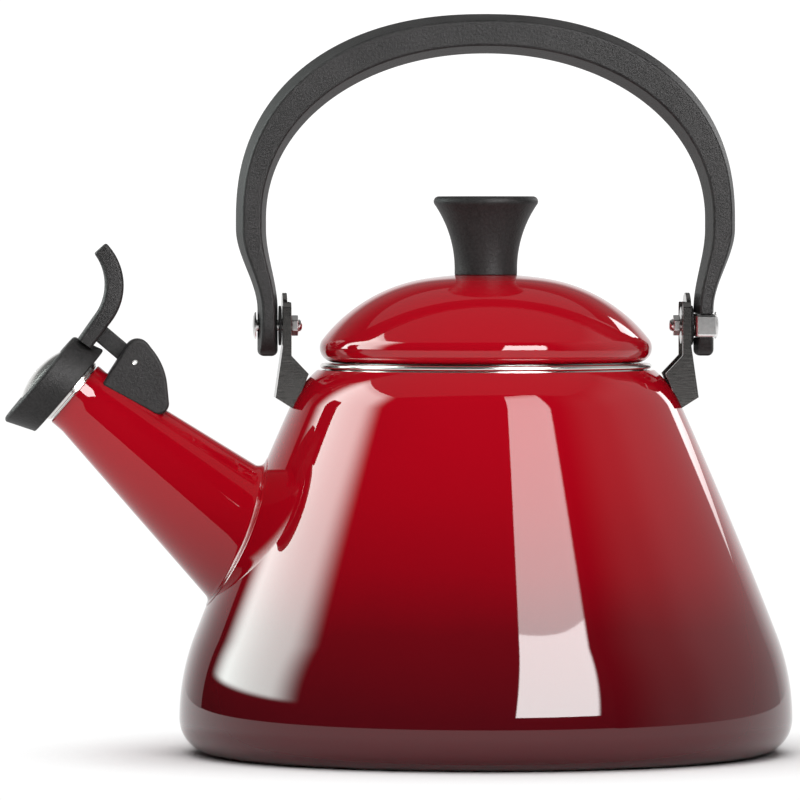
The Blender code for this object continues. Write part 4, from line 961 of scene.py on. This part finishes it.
# ---- materials ---------------------------------------------------------------------
class Look:
    """A material with a Principled shader and short calls for its nodes."""

    def __init__(self, name, **constants):
        self.material = bpy.data.materials.new(name)
        self.material.use_nodes = True
        self.tree = self.material.node_tree
        self.shader = self.tree.nodes["Principled BSDF"]
        for socket, value in constants.items():
            self.shader.inputs[socket.replace("_", " ")].default_value = value
        self.place = self.add("ShaderNodeTexCoord").outputs["Object"]

    def add(self, kind, **inputs):
        node = self.tree.nodes.new(kind)
        for socket, value in inputs.items():
            name = socket.replace("_", " ")
            if isinstance(value, bpy.types.NodeSocket):
                self.tree.links.new(value, node.inputs[name])
            else:
                node.inputs[name].default_value = value
        return node

    def link(self, output, name):
        self.tree.links.new(output, self.shader.inputs[name])

    def noise(self, scale, detail=3.0, roughness=0.5, place=None):
        return self.add("ShaderNodeTexNoise", Vector=place or self.place, Scale=scale,
                        Detail=detail, Roughness=roughness).outputs["Fac"]

    def stretched(self, scale):
        return self.add("ShaderNodeMapping", Vector=self.place, Scale=scale).outputs["Vector"]

    def math(self, operation, first, second):
        node = self.tree.nodes.new("ShaderNodeMath")
        node.operation = operation
        for socket, value in zip(node.inputs, (first, second)):
            if isinstance(value, bpy.types.NodeSocket):
                self.tree.links.new(value, socket)
            else:
                socket.default_value = value
        return node.outputs[0]

    def ramp(self, factor, stops):
        """A colour ramp; each stop is (position, colour)."""
        node = self.add("ShaderNodeValToRGB", Fac=factor)
        elements = node.color_ramp.elements
        for i, (position, colour) in enumerate(stops):
            element = elements[i] if i < 2 else elements.new(position)
            element.position = position
            element.color = (*colour, 1.0)
        return node.outputs["Color"]

    def blended(self, first, second, share):
        """Mixes two values: share of the first, the rest from the second."""
        return self.math("ADD", self.math("MULTIPLY", first, share),
                         self.math("MULTIPLY", second, 1.0 - share))

    def scaled(self, value, low, high):
        """Maps a value of 0 to 1 onto low to high."""
        return self.add("ShaderNodeMapRange", Value=value, To_Min=low, To_Max=high).outputs[0]

    def bump(self, height, depth, strength=1.0):
        node = self.add("ShaderNodeBump", Height=height, Distance=depth, Strength=strength)
        self.link(node.outputs["Normal"], "Normal")
        return node


GRADIENT_TOP = 0.140      # heights between which the enamel's colour, with its painted shade, is given
# Enamel colour by height: dark at the base, bright red above; the darkening towards the base is
# painted shade.
ENAMEL_PAINTED_SHADE_STOPS = (
    (0.00, (0.070, 0.0032, 0.0064)),
    (0.12, (0.088, 0.0030, 0.0062)),
    (0.31, (0.143, 0.0024, 0.0060)),
    (0.45, (0.268, 0.0016, 0.0070)),
    (0.61, (0.360, 0.0016, 0.0080)),
    (0.72, (0.400, 0.0016, 0.0090)),
    (0.90, (0.430, 0.0024, 0.0105)),
)


def enamel_look():
    """Glossy red enamel, darkened towards the base by painted shade and bright red above."""
    look = Look("red_enamel", Roughness=0.30, Coat_Weight=1.0, Coat_Roughness=0.02,
                Specular_IOR_Level=0.0)
    height = look.add("ShaderNodeSeparateXYZ", Vector=look.place).outputs["Z"]
    share = look.math("DIVIDE", height, GRADIENT_TOP)
    cloud = look.math("MULTIPLY", look.math("SUBTRACT", look.noise(28.0, 4.0), 0.5), 0.05)
    speck = look.math("MULTIPLY", look.math("SUBTRACT", look.noise(1500.0, 2.0), 0.5), 0.03)
    share = look.math("ADD", look.math("ADD", share, cloud), speck)
    # the height ramp paints shade onto the enamel, darker towards the base
    look.link(look.ramp(share, ENAMEL_PAINTED_SHADE_STOPS), "Base Color")
    look.bump(look.noise(160.0, 2.0), 0.00001, 0.25)
    return look.material


def plastic_look():
    """Black moulded plastic with a fine grain and slightly rubbed high spots."""
    look = Look("black_plastic", Specular_IOR_Level=0.20)
    grain = look.noise(1100.0, 3.0, 0.6)
    cloud = look.noise(55.0, 3.0)
    shade = look.blended(grain, cloud, 0.6)
    colour = look.ramp(shade, ((0.30, (0.008, 0.0077, 0.0077)), (0.70, (0.032, 0.0308, 0.0308))))
    look.link(colour, "Base Color")
    look.link(look.scaled(shade, 0.42, 0.58), "Roughness")
    look.bump(grain, 0.00016, 0.75)
    return look.material


def satin_painted_light_look():
    """Satin steel of the fasteners and the clip, its base colour lightened as painted light: a
    lighter copy of the same steel.
    """
    look = Look("satin_steel", Metallic=1.0)
    mottle = look.noise(900.0, 4.0, 0.6)
    # light base colour: painted light, brighter than the steel itself
    look.link(look.ramp(mottle, ((0.25, (0.74, 0.73, 0.72)), (0.75, (0.88, 0.87, 0.86)))),
              "Base Color")
    look.link(look.scaled(mottle, 0.24, 0.40), "Roughness")
    look.bump(mottle, 0.00004, 0.4)
    return look.material


def stainless_painted_shade_look():
    """Satin pressed steel with a fine brushed grain, its base colour darkened as painted shade."""
    look = Look("stainless_steel", Metallic=1.0, Anisotropic=0.35)
    brushed = look.noise(260.0, 5.0, 0.65, look.stretched((1.0, 1.0, 14.0)))
    cloud = look.noise(45.0, 3.0)
    # dark base colour: painted shade, darker than the steel itself
    look.link(look.ramp(brushed, ((0.2, (0.26, 0.25, 0.24)), (0.8, (0.35, 0.34, 0.33)))),
              "Base Color")
    look.link(look.scaled(look.blended(brushed, cloud, 0.6), 0.13, 0.21), "Roughness")
    look.bump(brushed, 0.00003, 0.35)
    return look.material


def bright_look():
    """Polished steel with faint fine scratches."""
    look = Look("bright_steel", Metallic=1.0)
    scratch = look.noise(420.0, 6.0, 0.7, look.stretched((1.0, 6.0, 1.0)))
    look.link(look.ramp(scratch, ((0.2, (0.66, 0.65, 0.63)), (0.8, (0.78, 0.77, 0.75)))),
              "Base Color")
    look.link(look.scaled(scratch, 0.12, 0.25), "Roughness")
    look.bump(scratch, 0.00001, 0.2)
    return look.material


def fibre_look():
    """Pressed red-brown fibre."""
    look = Look("spacer_fibre", Roughness=0.7)
    strands = look.noise(1800.0, 4.0, 0.7, look.stretched((1.0, 3.0, 1.0)))
    look.link(look.ramp(strands, ((0.2, (0.07, 0.030, 0.026)), (0.8, (0.16, 0.085, 0.075)))),
              "Base Color")
    look.bump(strands, 0.00008, 0.6)
    return look.material


# ---- studio ------------------------------------------------------------------------
def make_camera():
    data = bpy.data.cameras.new("camera")
    data.lens = CAMERA_LENS
    data.sensor_width = 36.0
    data.clip_end = 50.0
    camera = bpy.data.objects.new("camera", data)
    camera.location = CAMERA_AT
    camera.rotation_mode = "QUATERNION"
    camera.rotation_quaternion = (CAMERA_TARGET - CAMERA_AT).to_track_quat("-Z", "Y")
    bpy.context.scene.collection.objects.link(camera)
    bpy.context.scene.camera = camera


def stage_object(name, bm, material, hidden=()):
    """A stage mesh, hidden from the named kinds of ray."""
    mesh = bpy.data.meshes.new(name)
    bm.to_mesh(mesh)
    bm.free()
    mesh.materials.append(material)
    obj = bpy.data.objects.new(name, mesh)
    bpy.context.scene.collection.objects.link(obj)
    for ray in hidden:
        setattr(obj, "visible_" + ray, False)
    return obj


def emission(name, radiance, tint=(1.0, 1.0, 1.0)):
    """A material that only glows; returns it with its tree and emission node."""
    material = bpy.data.materials.new(name)
    material.use_nodes = True
    tree = material.node_tree
    tree.nodes.clear()
    glow = tree.nodes.new("ShaderNodeEmission")
    glow.inputs["Strength"].default_value = radiance
    glow.inputs["Color"].default_value = (*tint, 1.0)
    output = tree.nodes.new("ShaderNodeOutputMaterial")
    tree.links.new(glow.outputs[0], output.inputs["Surface"])
    return material, tree, glow


def ramp_over(tree, factor, points):
    """A smooth grey ramp of (position, value) points over a factor."""
    node = tree.nodes.new("ShaderNodeValToRGB")
    node.color_ramp.interpolation = "EASE"
    elements = node.color_ramp.elements
    for i, (position, value) in enumerate(points):
        element = elements[i] if i < 2 else elements.new(position)
        element.position = position
        element.color = (value, value, value, 1.0)
    tree.links.new(factor, node.inputs["Fac"])
    return node.outputs["Color"]


def panel_glow(name, radiance, rises, sides, tint=(1.0, 1.0, 1.0)):
    """A softbox's glow, by ramps of brightness up its height and across its width."""
    material, tree, glow = emission(name, radiance, tint)
    split = tree.nodes.new("ShaderNodeSeparateXYZ")
    tree.links.new(tree.nodes.new("ShaderNodeTexCoord").outputs["UV"], split.inputs[0])
    product = None
    for factor, points in ((split.outputs["Y"], rises), (split.outputs["X"], sides)):
        node = tree.nodes.new("ShaderNodeMath")
        node.operation = "MULTIPLY"
        tree.links.new(ramp_over(tree, factor, points), node.inputs[0])
        if product is None:
            node.inputs[1].default_value = radiance
        else:
            tree.links.new(product, node.inputs[1])
        product = node.outputs[0]
    tree.links.new(product, glow.inputs["Strength"])
    return material


def softbox(name, low, high, distance, material):
    """A curved glowing panel between low and high edges, seen from the kettle's middle.

    Each edge is (azimuth, azimuth, elevation, elevation); azimuths turn from -Y towards +X.
    """
    bm = bmesh.new()
    steps = 12
    rows = []
    for k in range(steps + 1):
        edge = [math.radians(a + (b - a) * k / steps) for a, b in zip(low, high)]
        row = []
        for i in range(steps + 1):
            turn = edge[0] + (edge[1] - edge[0]) * i / steps
            rise = edge[2] + (edge[3] - edge[2]) * i / steps
            row.append(bm.verts.new((distance * math.sin(turn), -distance * math.cos(turn),
                                     KETTLE_MIDDLE + distance * math.tan(rise))))
        rows.append(row)
    place = bm.loops.layers.uv.new("panel")
    for k in range(steps):
        for i in range(steps):
            spots = ((k, i), (k, i + 1), (k + 1, i + 1), (k + 1, i))
            face = bm.faces.new([rows[row][column] for row, column in spots])
            for loop, (row, column) in zip(face.loops, spots):
                loop[place].uv = (column / steps, row / steps)
    return stage_object(name, bm, material, REFLECTED_ONLY)


def soft_light(name, position, size, watts):
    """A large area light that only lights matt surfaces; the panels make the reflections."""
    data = bpy.data.lights.new(name, "AREA")
    data.shape = "RECTANGLE"
    data.size, data.size_y = size
    data.energy = watts
    light = bpy.data.objects.new(name, data)
    light.location = position
    light.rotation_mode = "QUATERNION"
    light.rotation_quaternion = (UP * KETTLE_MIDDLE - light.location).to_track_quat("-Z", "Y")
    light.visible_glossy = False
    light.visible_camera = False
    bpy.context.scene.collection.objects.link(light)


def make_floor():
    """A white floor: it takes the shadow near the kettle and glows evenly beyond."""
    material, tree, glow = emission("floor", FLOOR_GLOW)
    matt = tree.nodes.new("ShaderNodeBsdfDiffuse")
    matt.inputs["Color"].default_value = (0.9, 0.9, 0.9, 1.0)
    length = tree.nodes.new("ShaderNodeVectorMath")
    length.operation = "LENGTH"
    tree.links.new(tree.nodes.new("ShaderNodeTexCoord").outputs["Object"], length.inputs[0])
    reach = tree.nodes.new("ShaderNodeMapRange")
    reach.interpolation_type = "SMOOTHSTEP"
    reach.inputs["From Min"].default_value = FLOOR_FADE[0]
    reach.inputs["From Max"].default_value = FLOOR_FADE[1]
    tree.links.new(length.outputs["Value"], reach.inputs["Value"])
    mix = tree.nodes.new("ShaderNodeMixShader")
    tree.links.new(reach.outputs[0], mix.inputs[0])
    tree.links.new(matt.outputs[0], mix.inputs[1])
    tree.links.new(glow.outputs[0], mix.inputs[2])
    tree.links.new(mix.outputs[0], tree.nodes["Material Output"].inputs["Surface"])
    for name, radius, drop, hidden in (
            ("floor", FLOOR_REACH, 0.0002, ()),
            ("far_floor", FAR_FLOOR_RADIUS, 0.0030, SEEN_ONLY)):
        bm = bmesh.new()
        bmesh.ops.create_circle(bm, cap_ends=True, radius=radius, segments=96)
        stage_object(name, bm, material, hidden).location.z = -drop


def make_backdrop():
    """A white shell behind everything, seen only by the camera, and a card for reflections."""
    material, _, _ = emission("backdrop", BACKDROP_GLOW)
    bm = bmesh.new()
    bmesh.ops.create_uvsphere(bm, u_segments=48, v_segments=24, radius=BACKDROP_RADIUS)
    stage_object("backdrop", bm, material, SEEN_ONLY)
    card, _, _ = emission("ceiling_card", CEILING_GLOW)
    bm = bmesh.new()
    bmesh.ops.create_circle(bm, cap_ends=True, radius=2.0, segments=48)
    ceiling = stage_object("ceiling", bm, card, REFLECTED_ONLY)
    ceiling.location = (0.0, 1.2, 1.7)


def keep_off(panel, objects):
    """Leaves some pieces out of what a panel lights."""
    shaded = bpy.data.collections.new("kept_off_" + panel.name)
    panel.light_linking.receiver_collection = shaded
    for i, obj in enumerate(objects):
        shaded.objects.link(obj)
        shaded.collection_objects[i].light_linking.link_state = "EXCLUDE"


def make_studio(spout, lid, steel):
    """The world, panels, soft lights, floor and backdrop; some pieces aren't lit by some panels."""
    world = bpy.data.worlds.new("studio")
    world.use_nodes = True
    grey = (WORLD_GREY, WORLD_GREY, WORLD_GREY, 1.0)
    world.node_tree.nodes["Background"].inputs["Color"].default_value = grey
    bpy.context.scene.world = world
    panels = {}
    for name, (low, high, distance, *glow) in PANELS.items():
        panels[name] = softbox(name, low, high, distance, panel_glow(name + "_glow", *glow))
    keep_off(panels["front_softbox_low"], steel)
    keep_off(panels["front_softbox_high"], [spout, lid, *steel])
    keep_off(panels["left_softbox"], steel)
    for name, settings in SOFT_LIGHTS.items():
        soft_light(name, *settings)
    make_floor()
    make_backdrop()
    bpy.context.scene.view_settings.view_transform = "Standard"


# ---- assembly ----------------------------------------------------------------------
def main():
    make_camera()
    look = {
        "red_enamel": enamel_look(), "black_plastic": plastic_look(),
        "stainless_steel": stainless_painted_shade_look(), "bright_steel": bright_look(),
        "spacer_fibre": fibre_look(), "satin_steel": satin_painted_light_look(),
    }
    parts = (
        (make_body, "red_enamel", "kettle", ("body_shell",)),
        (make_rim_ring, "bright_steel", "kettle", ("rim_ring",)),
        (make_spout, "red_enamel", "kettle", ("spout",)),
        (make_spout_collar, "bright_steel", "kettle", ("spout_collar",)),
        (make_lid, "red_enamel", "lid", ("lid_shell",)),
        (make_lid_skirt, "stainless_steel", "lid", ("lid_skirt",)),
        (make_knob, "black_plastic", "lid", ("lid_knob",)),
        (make_whistle_cap, "black_plastic", "whistle", ("whistle_cap",)),
        (make_whistle_dome, "bright_steel", "whistle", ("whistle_dome",)),
        (make_whistle_disc, "bright_steel", "whistle", ("whistle_disc",)),
        (make_hinge_block, "black_plastic", "kettle", ("hinge_block",)),
        (make_hinge_pin, "bright_steel", "kettle", ("hinge_pin",)),
        (make_handle, "black_plastic", "handle", ("handle_grip",)),
    )
    made = {}
    for make, slot, body, nodes in parts:
        made[make] = dress(make(), look[slot], slot, body, *nodes)
    dress(make_clip(), look["satin_steel"], "bright_steel", "handle", "lock_clip")
    for side in (-1, 1):
        tag = "right" if side > 0 else "left"
        dress(make_bracket(side), look["stainless_steel"], "stainless_steel", "kettle",
              "handle_bracket_" + tag)
        make_pivot(side, look)
    for name in ("lid_knob_screw", "lid_knob_washer", "spout_lug"):
        node = frame["nodes"][name]
        node.data.materials.clear()
        node.data.materials.append(look["stainless_steel"])
        edges = node.modifiers.new("edges", "BEVEL")
        edges.width = 0.0002
        edges.segments = 2
    steel = [obj for obj in bpy.context.scene.objects
             if obj.type == "MESH" and obj.visible_get()
             and obj.active_material in (look["satin_steel"], look["stainless_steel"])]
    make_studio(made[make_spout], made[make_lid], steel)


main()
